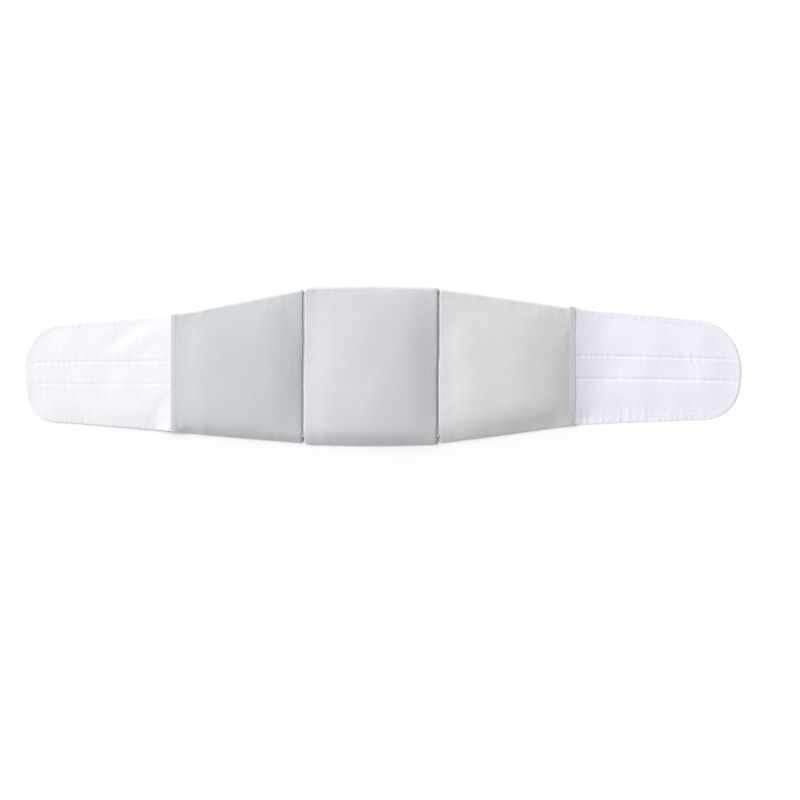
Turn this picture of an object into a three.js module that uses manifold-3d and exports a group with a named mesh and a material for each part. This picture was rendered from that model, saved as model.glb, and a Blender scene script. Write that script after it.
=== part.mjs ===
// A lumbar support belt, laid flat with its outer face up.
//
// Three padded panels stand side by side, a middle one between two tapering wings. A
// narrow web of doubled cloth is sewn between each pair of them. A soft cloth flap with a
// round tip is sewn into the outer edge of each wing, and the wing's cover is turned over
// that joint as a narrow hem. Each flap has two sewn channels along its length.
//
// Millimetres. X runs along the belt, Y up its height as worn, and Z up from the surface
// that the belt lies on. The origin is on that surface, in the middle of the belt.

import * as THREE from 'three';
import { mergeVertices } from 'three/addons/utils/BufferGeometryUtils.js';
import Module from 'manifold-3d';

const { lerp, smoothstep } = THREE.MathUtils;

// The outline of the panels.
const MIDDLE_PANEL_WIDTH = 186;
const LEFT_WING_WIDTH = 178;
const RIGHT_WING_WIDTH = 183;
const MIDDLE_PANEL_HEIGHT = 219;
const WING_SEAM_HEIGHT = 215;
const WING_END_HEIGHT = 164;
const LEFT_WING_DROP = 10;
const RIGHT_WING_DROP = 1;
const MIDDLE_EDGE_BOW = 2.4;
const WING_EDGE_BOW = 0.8;
const CORNER_ROUND = 3;

// The padding. A panel's long free edges are rolled, and its two ends slope down to the
// seam or hem that holds them.
const SIDE_RISE = 5;
const SHOULDER_RISE = 12.5;
const SWELL = 3.5;
const LIP_RISE = 9;
const END_SLOPE_WIDTH = 26;
const EDGE_ROLL_WIDTH = 18;
const UNDER_RISE = 2;
const UNDER_ROLL_WIDTH = 4;

// How full the profiles are: a higher number leaves the edge sooner.
const ROLL_FULLNESS = 2.5;
const ROLL_STEEPNESS = 0.55;
const SLOPE_FULLNESS = 1.7;

// The seams between the panels.
const CREASE_WIDTH = 2.4;
const WEB_THICKNESS = 2;
const WEB_RISE = 2.8;
const WEB_TUCK = 3;
const WEB_END_INSET = 5;

// The hems over the joints of wing and flap.
const LEFT_HEM_WIDTH = 6;
const RIGHT_HEM_WIDTH = 7.2;
const HEM_THICKNESS = 2.4;
const HEM_EDGE_THICKNESS = 1;
const HEM_ROUND = 2.5;

// The flaps.
const LEFT_FLAP_LENGTH = 204;
const RIGHT_FLAP_LENGTH = 231.8;
const FLAP_ROOT_HEIGHT = 162;
const RIGHT_FLAP_ROOT_DROP = 1;
const FLAP_TIP_HEIGHT = 140;
const FLAP_TIP_ROUND = 63;
const LEFT_TIP_RISE = 0.9;
const RIGHT_TIP_DROP = 5.5;
const TIP_DROP_POWER = 1.6;

// How square a flap's lower and upper corners are: a higher number is squarer.
const LEFT_LOWER_FULLNESS = 3.1;
const LEFT_UPPER_FULLNESS = 2.4;
const RIGHT_LOWER_FULLNESS = 2.4;
const RIGHT_UPPER_FULLNESS = 2.05;

// The flaps' thickness and the sewn channels.
const FLAP_THICKNESS = 3.6;
const FLAP_EDGE_THICKNESS = 2;
const FLAP_EDGE_ROLL = 5;
const FLAP_UNDER_ROLL = 0.7;
const FLAP_TUCK = 6;
const FLAP_TUCK_INSET = 8;
const FLAP_ROOT_RISE = 3;
const FLAP_SLOPE_WIDTH = 38;
const FLAP_EDGE_SLOPE_WIDTH = 14;
const CHANNEL_SPACING = 32;
const CHANNEL_TIP_SPACING = 30;
const CHANNEL_WIDTH = 4;
const CHANNEL_DEPTH = 1.6;
const LEFT_CHANNEL_ROOT_LIFT = 1.3;
const LEFT_CHANNEL_TIP_LIFT = -0.9;
const RIGHT_CHANNEL_ROOT_LIFT = 0.2;
const RIGHT_CHANNEL_TIP_LIFT = 1.2;

// The clearance between two pieces that meet.
const GAP = 0.3;

// Where a rolled edge or an end slope is sampled, as shares of its width from the edge in.
const ROLL_STEPS = [0, 0.04, 0.11, 0.23, 0.4, 0.65, 1];
const SLOPE_STEPS = [0, 0.04, 0.12, 0.28, 0.5, 0.75, 1];
const PANEL_MIDDLE_STEPS = 6;
const HEM_STEPS = [0, 0.15, 0.5, 1];
const HEM_MIDDLE_STEPS = { across: 2, along: 4 };

// Where a flap is sampled along its length: along its straight stretch as shares of that,
// and round its tip as shares of the turn.
const FLAP_RUN_STEPS = [0.04, 0.1, 0.17, 0.26, 0.4, 0.55, 0.7, 0.85, 1];
const FLAP_TIP_STEPS = [0.16, 0.32, 0.46, 0.58, 0.68, 0.77, 0.85, 0.92, 0.97, 1];

// Where a flap's side band is sampled from its edge to the channel, as shares: the first
// of the edge's roll, the second of the rest of the band.
const BAND_STEPS = [
  { roll: 0, band: 0 },
  { roll: 0.12, band: 0 },
  { roll: 0.45, band: 0 },
  { roll: 1, band: 0 },
  { roll: 1, band: 0.35 },
  { roll: 1, band: 0.7 },
  { roll: 1, band: 1 },
];

const PANEL_COLOUR = 0xd2d3d7;
const FLAP_COLOUR = 0xf2f2f8;

const wasm = await Module();
wasm.setup();

function clamp(share) {
  return Math.min(Math.max(share, 0), 1);
}

// A quarter round from 0 at the edge to 1 at the full width.
function quarterRound(share) {
  return Math.sqrt(1 - (1 - clamp(share)) ** 2);
}

// A full shoulder: steep at the edge and flat at the full width.
function shoulder(share) {
  return (1 - (1 - clamp(share)) ** ROLL_FULLNESS) ** ROLL_STEEPNESS;
}

// A slope that eases into the flat at the full width.
function easedSlope(share) {
  return 1 - (1 - clamp(share)) ** SLOPE_FULLNESS;
}

// A hump that is 0 at both ends and 1 in the middle.
function hump(share) {
  return 4 * share * (1 - share);
}

// Positions from 0 to length, close together in the two end zones and even between them.
function positionsAcross(length, zone, steps, middleSteps) {
  const near = steps.map((share) => share * zone);
  const between = [];
  for (let i = 1; i < middleSteps; i += 1) {
    between.push(lerp(zone, length - zone, i / middleSteps));
  }
  const far = near.map((distance) => length - distance).reverse();
  return [...near, ...between, ...far];
}

// A closed body over a grid: rows[i][j] holds a point's x and y, the height of the upper
// face there, and the height of the lower face.
function bodyOverGrid(rows) {
  const along = rows.length;
  const across = rows[0].length;
  const positions = [];
  for (const face of ['top', 'bottom']) {
    for (const row of rows) {
      for (const point of row) {
        positions.push(point.x, point.y, point[face]);
      }
    }
  }
  const upper = (i, j) => i * across + j;
  const lower = (i, j) => along * across + i * across + j;
  const faces = [];
  const addQuad = (a, b, c, d) => faces.push(a, b, c, a, c, d);
  for (let i = 0; i < along - 1; i += 1) {
    for (let j = 0; j < across - 1; j += 1) {
      addQuad(upper(i, j), upper(i + 1, j), upper(i + 1, j + 1), upper(i, j + 1));
      addQuad(lower(i, j), lower(i, j + 1), lower(i + 1, j + 1), lower(i + 1, j));
    }
    addQuad(lower(i, 0), lower(i + 1, 0), upper(i + 1, 0), upper(i, 0));
    addQuad(lower(i + 1, across - 1), lower(i, across - 1), upper(i, across - 1), upper(i + 1, across - 1));
  }
  for (let j = 0; j < across - 1; j += 1) {
    addQuad(lower(0, j + 1), lower(0, j), upper(0, j), upper(0, j + 1));
    addQuad(lower(along - 1, j), lower(along - 1, j + 1), upper(along - 1, j + 1), upper(along - 1, j));
  }
  const geometry = new THREE.BufferGeometry();
  geometry.setAttribute('position', new THREE.Float32BufferAttribute(positions, 3));
  geometry.setIndex(faces);
  return geometry;
}

function solidFrom(geometry) {
  const bare = geometry.index ? geometry.clone() : geometry;
  bare.deleteAttribute('normal');
  bare.deleteAttribute('uv');
  const merged = mergeVertices(bare, 1e-4);
  return new wasm.Manifold(new wasm.Mesh({
    numProp: 3,
    vertProperties: merged.attributes.position.array,
    triVerts: new Uint32Array(merged.index.array),
  }));
}

function geometryFrom(solid) {
  const mesh = solid.getMesh();
  const geometry = new THREE.BufferGeometry();
  geometry.setAttribute('position', new THREE.BufferAttribute(mesh.vertProperties, 3));
  geometry.setIndex(new THREE.BufferAttribute(mesh.triVerts, 1));
  return geometry;
}

function boxGeometry(low, high) {
  const geometry = new THREE.BoxGeometry(high.x - low.x, high.y - low.y, high.z - low.z);
  geometry.translate((low.x + high.x) / 2, (low.y + high.y) / 2, (low.z + high.z) / 2);
  return geometry;
}

function grownBy(box, clearance) {
  return {
    low: { x: box.low.x - clearance, y: box.low.y - clearance, z: box.low.z - clearance },
    high: { x: box.high.x + clearance, y: box.high.y + clearance, z: box.high.z + clearance },
  };
}

// Where each piece starts along the belt, from the left tip.
const beltLength = LEFT_FLAP_LENGTH + LEFT_WING_WIDTH + MIDDLE_PANEL_WIDTH
  + RIGHT_WING_WIDTH + RIGHT_FLAP_LENGTH + LEFT_HEM_WIDTH + RIGHT_HEM_WIDTH
  + 2 * GAP + 2 * CREASE_WIDTH;
const leftRootX = -beltLength / 2 + LEFT_FLAP_LENGTH;
const leftWingX = leftRootX + LEFT_HEM_WIDTH + GAP;
const middlePanelX = leftWingX + LEFT_WING_WIDTH + CREASE_WIDTH;
const rightWingX = middlePanelX + MIDDLE_PANEL_WIDTH + CREASE_WIDTH;
const rightRootX = rightWingX + RIGHT_WING_WIDTH + GAP + RIGHT_HEM_WIDTH;

// The three panels: each end's height and the level of its middle.
const leftWing = {
  x: leftWingX,
  width: LEFT_WING_WIDTH,
  bow: WING_EDGE_BOW,
  ends: [
    { height: WING_END_HEIGHT, level: -LEFT_WING_DROP },
    { height: WING_SEAM_HEIGHT, level: 0 },
  ],
};
const middlePanel = {
  x: middlePanelX,
  width: MIDDLE_PANEL_WIDTH,
  bow: MIDDLE_EDGE_BOW,
  ends: [
    { height: MIDDLE_PANEL_HEIGHT, level: 0 },
    { height: MIDDLE_PANEL_HEIGHT, level: 0 },
  ],
};
const rightWing = {
  x: rightWingX,
  width: RIGHT_WING_WIDTH,
  bow: WING_EDGE_BOW,
  ends: [
    { height: WING_SEAM_HEIGHT, level: 0 },
    { height: WING_END_HEIGHT, level: -RIGHT_WING_DROP },
  ],
};

// The lower and upper edge of a panel at a distance from its left end.
function panelEdges(panel, distance) {
  const share = distance / panel.width;
  const height = lerp(panel.ends[0].height, panel.ends[1].height, share);
  const level = lerp(panel.ends[0].level, panel.ends[1].level, share);
  const bow = panel.bow * hump(share);
  const fromEnd = Math.min(distance, panel.width - distance);
  const pulledIn = CORNER_ROUND * (1 - quarterRound(fromEnd / CORNER_ROUND));
  const reach = height / 2 + bow - pulledIn;
  return { low: level - reach, high: level + reach };
}

// The height of a panel's upper face, from the distances to its nearest end and its
// nearest free edge and the shares along and across it.
function panelTop(fromEnd, fromEdge, alongShare, acrossShare) {
  const lipShare = (LIP_RISE - SIDE_RISE) / (SHOULDER_RISE - SIDE_RISE);
  const endSlope = lerp(lipShare, 1, easedSlope(fromEnd / END_SLOPE_WIDTH));
  const edgeRoll = shoulder(fromEdge / EDGE_ROLL_WIDTH);
  const swell = SWELL * hump(alongShare) * hump(acrossShare);
  return SIDE_RISE + (SHOULDER_RISE - SIDE_RISE) * endSlope * edgeRoll + swell;
}

function panelBottom(fromEnd, fromEdge) {
  const rise = (distance) => UNDER_RISE * (1 - quarterRound(distance / UNDER_ROLL_WIDTH));
  return Math.max(rise(fromEnd), rise(fromEdge));
}

function panelSolid(panel) {
  const stations = positionsAcross(panel.width, END_SLOPE_WIDTH, SLOPE_STEPS, PANEL_MIDDLE_STEPS);
  const rows = stations.map((distance) => {
    const edges = panelEdges(panel, distance);
    const height = edges.high - edges.low;
    const fromEnd = Math.min(distance, panel.width - distance);
    return positionsAcross(height, EDGE_ROLL_WIDTH, ROLL_STEPS, PANEL_MIDDLE_STEPS).map((up) => {
      const fromEdge = Math.min(up, height - up);
      return {
        x: panel.x + distance,
        y: edges.low + up,
        top: panelTop(fromEnd, fromEdge, distance / panel.width, up / height),
        bottom: panelBottom(fromEnd, fromEdge),
      };
    });
  });
  return solidFrom(bodyOverGrid(rows));
}

// The web of doubled cloth in the crease after a panel, tucked into the panels beside it.
function webBox(creaseX, panelBefore, panelAfter) {
  const before = panelEdges(panelBefore, panelBefore.width);
  const after = panelEdges(panelAfter, 0);
  return {
    low: {
      x: creaseX - WEB_TUCK,
      y: Math.max(before.low, after.low) + WEB_END_INSET,
      z: WEB_RISE,
    },
    high: {
      x: creaseX + CREASE_WIDTH + WEB_TUCK,
      y: Math.min(before.high, after.high) - WEB_END_INSET,
      z: WEB_RISE + WEB_THICKNESS,
    },
  };
}

const leftWeb = webBox(leftWingX + LEFT_WING_WIDTH, leftWing, middlePanel);
const rightWeb = webBox(middlePanelX + MIDDLE_PANEL_WIDTH, middlePanel, rightWing);

// The two flaps. Outward is -1 on the left flap and 1 on the right one.
const leftFlap = {
  outward: -1,
  rootX: leftRootX,
  length: LEFT_FLAP_LENGTH,
  hemWidth: LEFT_HEM_WIDTH,
  hemLevel: -LEFT_WING_DROP,
  rootLevel: -LEFT_WING_DROP,
  tipDrop: -LEFT_TIP_RISE,
  lowerFullness: LEFT_LOWER_FULLNESS,
  upperFullness: LEFT_UPPER_FULLNESS,
  channelRootLift: LEFT_CHANNEL_ROOT_LIFT,
  channelTipLift: LEFT_CHANNEL_TIP_LIFT,
};
const rightFlap = {
  outward: 1,
  rootX: rightRootX,
  length: RIGHT_FLAP_LENGTH,
  hemWidth: RIGHT_HEM_WIDTH,
  hemLevel: -RIGHT_WING_DROP,
  rootLevel: -RIGHT_WING_DROP - RIGHT_FLAP_ROOT_DROP,
  tipDrop: RIGHT_TIP_DROP,
  lowerFullness: RIGHT_LOWER_FULLNESS,
  upperFullness: RIGHT_UPPER_FULLNESS,
  channelRootLift: RIGHT_CHANNEL_ROOT_LIFT,
  channelTipLift: RIGHT_CHANNEL_TIP_LIFT,
};

// The turn of a flap's tip stops at its blunt end, which is a little wider than the
// channels: the angle of that turn and how far it reaches.
function tipTurn(flap) {
  const bluntHalf = CHANNEL_TIP_SPACING / 2 + 2 * CHANNEL_WIDTH + Math.abs(flap.channelTipLift);
  return Math.acos((2 * bluntHalf / FLAP_TIP_HEIGHT) ** (meanFullness(flap) / 2));
}

function meanFullness(flap) {
  return (flap.lowerFullness + flap.upperFullness) / 2;
}

function tipReach(flap, share) {
  return FLAP_TIP_ROUND * Math.sin(share * tipTurn(flap)) ** (2 / meanFullness(flap));
}

// How far the flap's lower and upper edges stand from its middle line at a distance out
// from its hem.
function flapHalves(flap, distance) {
  const straight = flap.length - tipReach(flap, 1);
  const taper = lerp(FLAP_ROOT_HEIGHT, FLAP_TIP_HEIGHT, Math.min(distance / straight, 1)) / 2;
  const round = Math.max(distance - straight, 0) / FLAP_TIP_ROUND;
  const half = (fullness) => taper * (1 - round ** fullness) ** (1 / fullness);
  return { below: half(flap.lowerFullness), above: half(flap.upperFullness) };
}

// The sampled distances.
function flapStations(flap) {
  const straight = flap.length - tipReach(flap, 1);
  const run = FLAP_RUN_STEPS.map((share) => share * straight);
  const round = FLAP_TIP_STEPS.map((share) => straight + tipReach(flap, share));
  return [0, ...run, ...round];
}

// The level of the flap's middle line and of its channels at a distance out.
function flapLevel(flap, distance) {
  return flap.rootLevel - flap.tipDrop * (distance / flap.length) ** TIP_DROP_POWER;
}

function channelLevels(flap, distance) {
  const lift = lerp(flap.channelRootLift, flap.channelTipLift, distance / flap.length);
  const middle = flapLevel(flap, distance) + lift;
  const half = lerp(CHANNEL_SPACING, CHANNEL_TIP_SPACING, distance / flap.length) / 2;
  return { low: middle - half, high: middle + half };
}

// The levels across a flap at a distance out, each with the depth of the channel there.
function flapColumns(flap, distance, inset) {
  const halves = flapHalves(flap, distance);
  const level = flapLevel(flap, distance);
  const channels = channelLevels(flap, distance);
  const lip = CHANNEL_WIDTH / 2;
  const bandLevels = (edge, channelLip) => {
    const band = Math.abs(channelLip - edge);
    const roll = Math.min(FLAP_EDGE_ROLL, band / 2);
    return BAND_STEPS.map((step) => {
      const inwards = step.roll * roll + step.band * (band - roll);
      return { y: edge + Math.sign(channelLip - edge) * inwards, depth: 0 };
    });
  };
  const lowBand = bandLevels(level - halves.below + inset, channels.low - lip);
  const highBand = bandLevels(level + halves.above - inset, channels.high + lip).reverse();
  return [
    ...lowBand,
    { y: channels.low, depth: CHANNEL_DEPTH },
    { y: channels.low + lip, depth: 0 },
    { y: lerp(channels.low, channels.high, 0.5), depth: 0 },
    { y: channels.high - lip, depth: 0 },
    { y: channels.high, depth: CHANNEL_DEPTH },
    ...highBand,
  ];
}

// The flap's outline round its tip, as points from the lower root to the upper one.
function flapOutline(flap) {
  const stations = flapStations(flap);
  const lower = stations.map((distance) => new THREE.Vector2(
    distance,
    flapLevel(flap, distance) - flapHalves(flap, distance).below,
  ));
  const upper = stations.map((distance) => new THREE.Vector2(
    distance,
    flapLevel(flap, distance) + flapHalves(flap, distance).above,
  ));
  return [...lower, ...upper.reverse()];
}

function distanceToOutline(outline, point) {
  let nearest = Infinity;
  for (let i = 0; i < outline.length - 1; i += 1) {
    const start = outline[i];
    const along = outline[i + 1].clone().sub(start);
    const reach = point.clone().sub(start);
    const share = clamp(reach.dot(along) / along.lengthSq());
    nearest = Math.min(nearest, reach.sub(along.multiplyScalar(share)).length());
  }
  return nearest;
}

// How far a flap is held off the surface: at its root by the wing's edge, less at its own
// edges, and not at all further out.
function flapRise(flap, distance, y) {
  const fromMiddle = Math.min(Math.abs(y - flapLevel(flap, distance)) * 2 / FLAP_ROOT_HEIGHT, 1);
  const slopeWidth = lerp(FLAP_SLOPE_WIDTH, FLAP_EDGE_SLOPE_WIDTH, fromMiddle ** 2);
  return FLAP_ROOT_RISE * (1 - smoothstep(distance, 0, slopeWidth));
}

// A row of the flap's grid. The rows under the hem, where the distance is below 0, have the
// root's section, drawn in from its edges by the inset.
function flapRow(flap, outline, distance, inset) {
  const out = Math.max(distance, 0);
  return flapColumns(flap, out, inset).map(({ y, depth }) => {
    const fromEdge = distanceToOutline(outline, new THREE.Vector2(out, y));
    const roll = quarterRound(fromEdge / FLAP_EDGE_ROLL);
    const rise = flapRise(flap, out, y);
    const thickness = lerp(FLAP_EDGE_THICKNESS, FLAP_THICKNESS, roll);
    const pressed = Math.min(depth, thickness / 2);
    return {
      x: flap.rootX + flap.outward * distance,
      y,
      top: rise + thickness - pressed,
      bottom: rise + FLAP_UNDER_ROLL * (1 - roll),
    };
  });
}

// The flap runs from its tip in under the hem, and on as a narrower tongue that is sewn
// into the wing's edge.
function flapSolid(flap) {
  const outline = flapOutline(flap);
  const rows = [
    flapRow(flap, outline, -flap.hemWidth - GAP - FLAP_TUCK, FLAP_TUCK_INSET),
    flapRow(flap, outline, -flap.hemWidth - GAP / 2, FLAP_TUCK_INSET),
    flapRow(flap, outline, -flap.hemWidth, 0),
    ...flapStations(flap).map((distance) => flapRow(flap, outline, distance, 0)),
  ];
  if (flap.outward < 0) {
    rows.reverse();
  }
  return solidFrom(bodyOverGrid(rows));
}

// The box that a flap's tongue fills inside the wing's edge.
function tongueBox(flap) {
  const reach = FLAP_ROOT_HEIGHT / 2 - FLAP_TUCK_INSET;
  const wingEdge = flap.rootX - flap.outward * flap.hemWidth;
  const tongueEnd = wingEdge - flap.outward * (GAP + FLAP_TUCK);
  return {
    low: { x: Math.min(wingEdge, tongueEnd), y: flap.rootLevel - reach, z: FLAP_ROOT_RISE },
    high: {
      x: Math.max(wingEdge, tongueEnd),
      y: flap.rootLevel + reach,
      z: FLAP_ROOT_RISE + FLAP_THICKNESS,
    },
  };
}

// A panel with the slots for the webs and tongues that are sewn into its ends.
function slottedPanel(panel, tucked) {
  return tucked.reduce((solid, box) => {
    const slot = grownBy(box, GAP);
    return solid.subtract(solidFrom(boxGeometry(slot.low, slot.high)));
  }, panelSolid(panel));
}

// The hem over a flap's root, a round-backed strip as tall as the wing's end.
function hemSolid(flap) {
  const seat = FLAP_ROOT_RISE + FLAP_THICKNESS + GAP;
  const inner = flap.rootX - flap.outward * flap.hemWidth;
  const start = Math.min(inner, flap.rootX);
  const across = positionsAcross(flap.hemWidth, HEM_ROUND, HEM_STEPS, HEM_MIDDLE_STEPS.across);
  const rows = across.map((distance) => {
    const fromSide = Math.min(distance, flap.hemWidth - distance);
    const upwards = positionsAcross(WING_END_HEIGHT, HEM_ROUND, HEM_STEPS, HEM_MIDDLE_STEPS.along);
    return upwards.map((up) => {
      const fromTip = Math.min(up, WING_END_HEIGHT - up);
      const roll = quarterRound(fromSide / HEM_ROUND) * quarterRound(fromTip / HEM_ROUND);
      return {
        x: start + distance,
        y: flap.hemLevel - WING_END_HEIGHT / 2 + up,
        top: seat + lerp(HEM_EDGE_THICKNESS, HEM_THICKNESS, roll),
        bottom: seat,
      };
    });
  });
  return solidFrom(bodyOverGrid(rows));
}

const belt = new THREE.Group();
belt.name = 'lumbar_support_belt';

function addPiece(name, solid, colour, roughness) {
  const material = new THREE.MeshStandardMaterial({ color: colour, roughness, metalness: 0 });
  const mesh = new THREE.Mesh(geometryFrom(solid), material);
  mesh.name = name;
  belt.add(mesh);
}

const SATIN = 0.5;
const BRUSHED = 0.95;

addPiece('left_flap', flapSolid(leftFlap), FLAP_COLOUR, BRUSHED);
addPiece('left_hem', hemSolid(leftFlap), PANEL_COLOUR, SATIN);
const leftWingSolid = slottedPanel(leftWing, [tongueBox(leftFlap), leftWeb]);
const rightWingSolid = slottedPanel(rightWing, [rightWeb, tongueBox(rightFlap)]);
addPiece('left_wing_panel', leftWingSolid, PANEL_COLOUR, SATIN);
addPiece('left_seam_web', solidFrom(boxGeometry(leftWeb.low, leftWeb.high)), PANEL_COLOUR, SATIN);
addPiece('middle_panel', slottedPanel(middlePanel, [leftWeb, rightWeb]), PANEL_COLOUR, SATIN);
addPiece('right_seam_web', solidFrom(boxGeometry(rightWeb.low, rightWeb.high)), PANEL_COLOUR, SATIN);
addPiece('right_wing_panel', rightWingSolid, PANEL_COLOUR, SATIN);
addPiece('right_hem', hemSolid(rightFlap), PANEL_COLOUR, SATIN);
addPiece('right_flap', flapSolid(rightFlap), FLAP_COLOUR, BRUSHED);

export default belt;
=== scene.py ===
"""The looks of a lumbar support belt that lies flat with its outer face up.

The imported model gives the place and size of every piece. Each soft piece is built here as a
finer mesh over its solid: three padded panels relaxed by a cloth simulation, the sewn webs
between them, the turned hems at the wings' ends and the two brushed fastening flaps. Lengths
are in millimetres until a mesh is made.
"""

import logging
import math
from dataclasses import dataclass, field
from enum import Enum

import bpy
import numpy as np
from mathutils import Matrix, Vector, kdtree


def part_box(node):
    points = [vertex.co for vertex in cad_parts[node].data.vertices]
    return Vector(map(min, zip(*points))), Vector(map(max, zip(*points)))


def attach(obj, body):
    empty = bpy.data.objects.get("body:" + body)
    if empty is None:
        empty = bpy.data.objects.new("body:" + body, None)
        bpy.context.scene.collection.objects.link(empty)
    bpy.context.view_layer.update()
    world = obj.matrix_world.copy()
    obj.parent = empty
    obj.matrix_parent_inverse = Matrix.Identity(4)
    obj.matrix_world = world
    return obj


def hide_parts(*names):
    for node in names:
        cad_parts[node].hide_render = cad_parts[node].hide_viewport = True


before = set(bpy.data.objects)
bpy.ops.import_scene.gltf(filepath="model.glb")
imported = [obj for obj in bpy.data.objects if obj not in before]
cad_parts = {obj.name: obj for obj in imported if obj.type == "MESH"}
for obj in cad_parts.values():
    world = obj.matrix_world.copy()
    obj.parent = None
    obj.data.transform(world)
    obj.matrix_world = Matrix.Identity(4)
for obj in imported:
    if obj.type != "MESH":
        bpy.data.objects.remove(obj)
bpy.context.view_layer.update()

MM = 0.001
BODY = "root"
UV_NAME = "cloth_uv"
LOG = logging.getLogger("support_belt")

# The cloth simulation that relaxes the pads: its settings, its frames, its plain body, and how
# its result is carried to the cover. Lengths are in millimetres.
WADDING = {
    "quality": 5,
    "mass": 0.15,
    "tension_stiffness": 18,
    "compression_stiffness": 18,
    "shear_stiffness": 8,
    "bending_stiffness": 6,
    "shrink_min": 0.0,
    "use_pressure": True,
    "uniform_pressure_force": 4.0,
}
SIMULATED_FRAMES = 20
PROXY_CELL = 4.5
PROXY_INSET = 0.8
HELD_REACH = 3
MOST_MOVE = 0.8
FREE_REACH = 40
NEIGHBOURS = 14
NEAREST_WEIGHT = 3.0
LEAST_PAD = 0.3


class Slot(Enum):
    """The record's material slots."""

    COVER = "cover_cloth"
    LOOP = "brushed_loop_cloth"


class Outward(Enum):
    """Which way a flap runs from its wing, as a sign along the belt."""

    LEFT = -1
    RIGHT = 1


def quarter_round(share: np.ndarray) -> np.ndarray:
    """A quarter circle from 0 at the edge to 1 at the full width."""
    return np.sqrt(1 - (1 - np.clip(share, 0, 1)) ** 2)


def smooth(share: np.ndarray) -> np.ndarray:
    """An even ease from 0 to 1."""
    t = np.clip(share, 0, 1)
    return t * t * (3 - 2 * t)


def bell(distance: np.ndarray, width: float) -> np.ndarray:
    """A soft ridge of height 1 at distance 0 that is gone about two widths away."""
    return np.exp(-((distance / width) ** 2))


def arch(share: np.ndarray, power: float, crest: float = 0.5) -> np.ndarray:
    """An arch that is 0 at both ends and 1 at its crest: a higher power is fuller."""
    below = (crest - share) / crest
    return 1 - np.where(share < crest, below, (share - crest) / (1 - crest)) ** power


def graded(length: float, first: float, growth: float, widest: float) -> np.ndarray:
    """Positions from 0 to length that stand close at both ends and even in the middle.

    Args:
        length: The whole length.
        first: The first step in from each end.
        growth: How much each step grows on the one before.
        widest: The longest step.

    Returns:
        The rising positions.
    """
    steps = [first]
    while sum(steps) < length / 2:
        steps.append(min(steps[-1] * growth, widest))
    half = np.concatenate([[0.0], np.cumsum(steps)])
    half *= length / 2 / half[-1]
    return np.concatenate([half, length - half[-2::-1]])


def node_points(node: str) -> np.ndarray:
    """The corner points of a CAD node, in millimetres.

    Args:
        node: The node's name.

    Returns:
        One row a point.
    """
    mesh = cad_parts[node].data
    points = np.zeros(len(mesh.vertices) * 3)
    mesh.vertices.foreach_get("co", points)
    return points.reshape(-1, 3) / MM


def node_box(node: str) -> tuple[np.ndarray, np.ndarray]:
    """The lowest and highest corner of a CAD node, in millimetres."""
    low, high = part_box(node)
    return np.array(low) / MM, np.array(high) / MM


@dataclass(frozen=True)
class Ripples:
    """A smooth random relief: a sum of waves in random directions.

    Attributes:
        seed: The start of the random draw.
        height: The relief's root mean square height.
        shortest: The shortest wavelength.
        longest: The longest wavelength.
        waves: How many waves are summed.
    """

    seed: int
    height: float
    shortest: float
    longest: float
    waves: int = 28

    def at(self, x: np.ndarray, y: np.ndarray | float = 0.0) -> np.ndarray:
        """The relief at points of a plane, or along a line where y is left out.

        Args:
            x: Positions on one axis, or along the line.
            y: Positions on the other axis.

        Returns:
            The relief's height at each point.
        """
        draw = np.random.default_rng(self.seed)
        length = np.exp(draw.uniform(math.log(self.shortest), math.log(self.longest), self.waves))
        turn = draw.uniform(0, math.tau, self.waves)
        phase = draw.uniform(0, math.tau, self.waves)
        total = np.zeros(np.broadcast(x, y).shape)
        flat = not isinstance(y, np.ndarray)
        for wave, angle, start in zip(length, turn, phase):
            run = x if flat else x * math.cos(angle) + y * math.sin(angle)
            total = total + np.cos(math.tau * run / wave + start)
        return self.height * total / math.sqrt(self.waves / 2)


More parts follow.
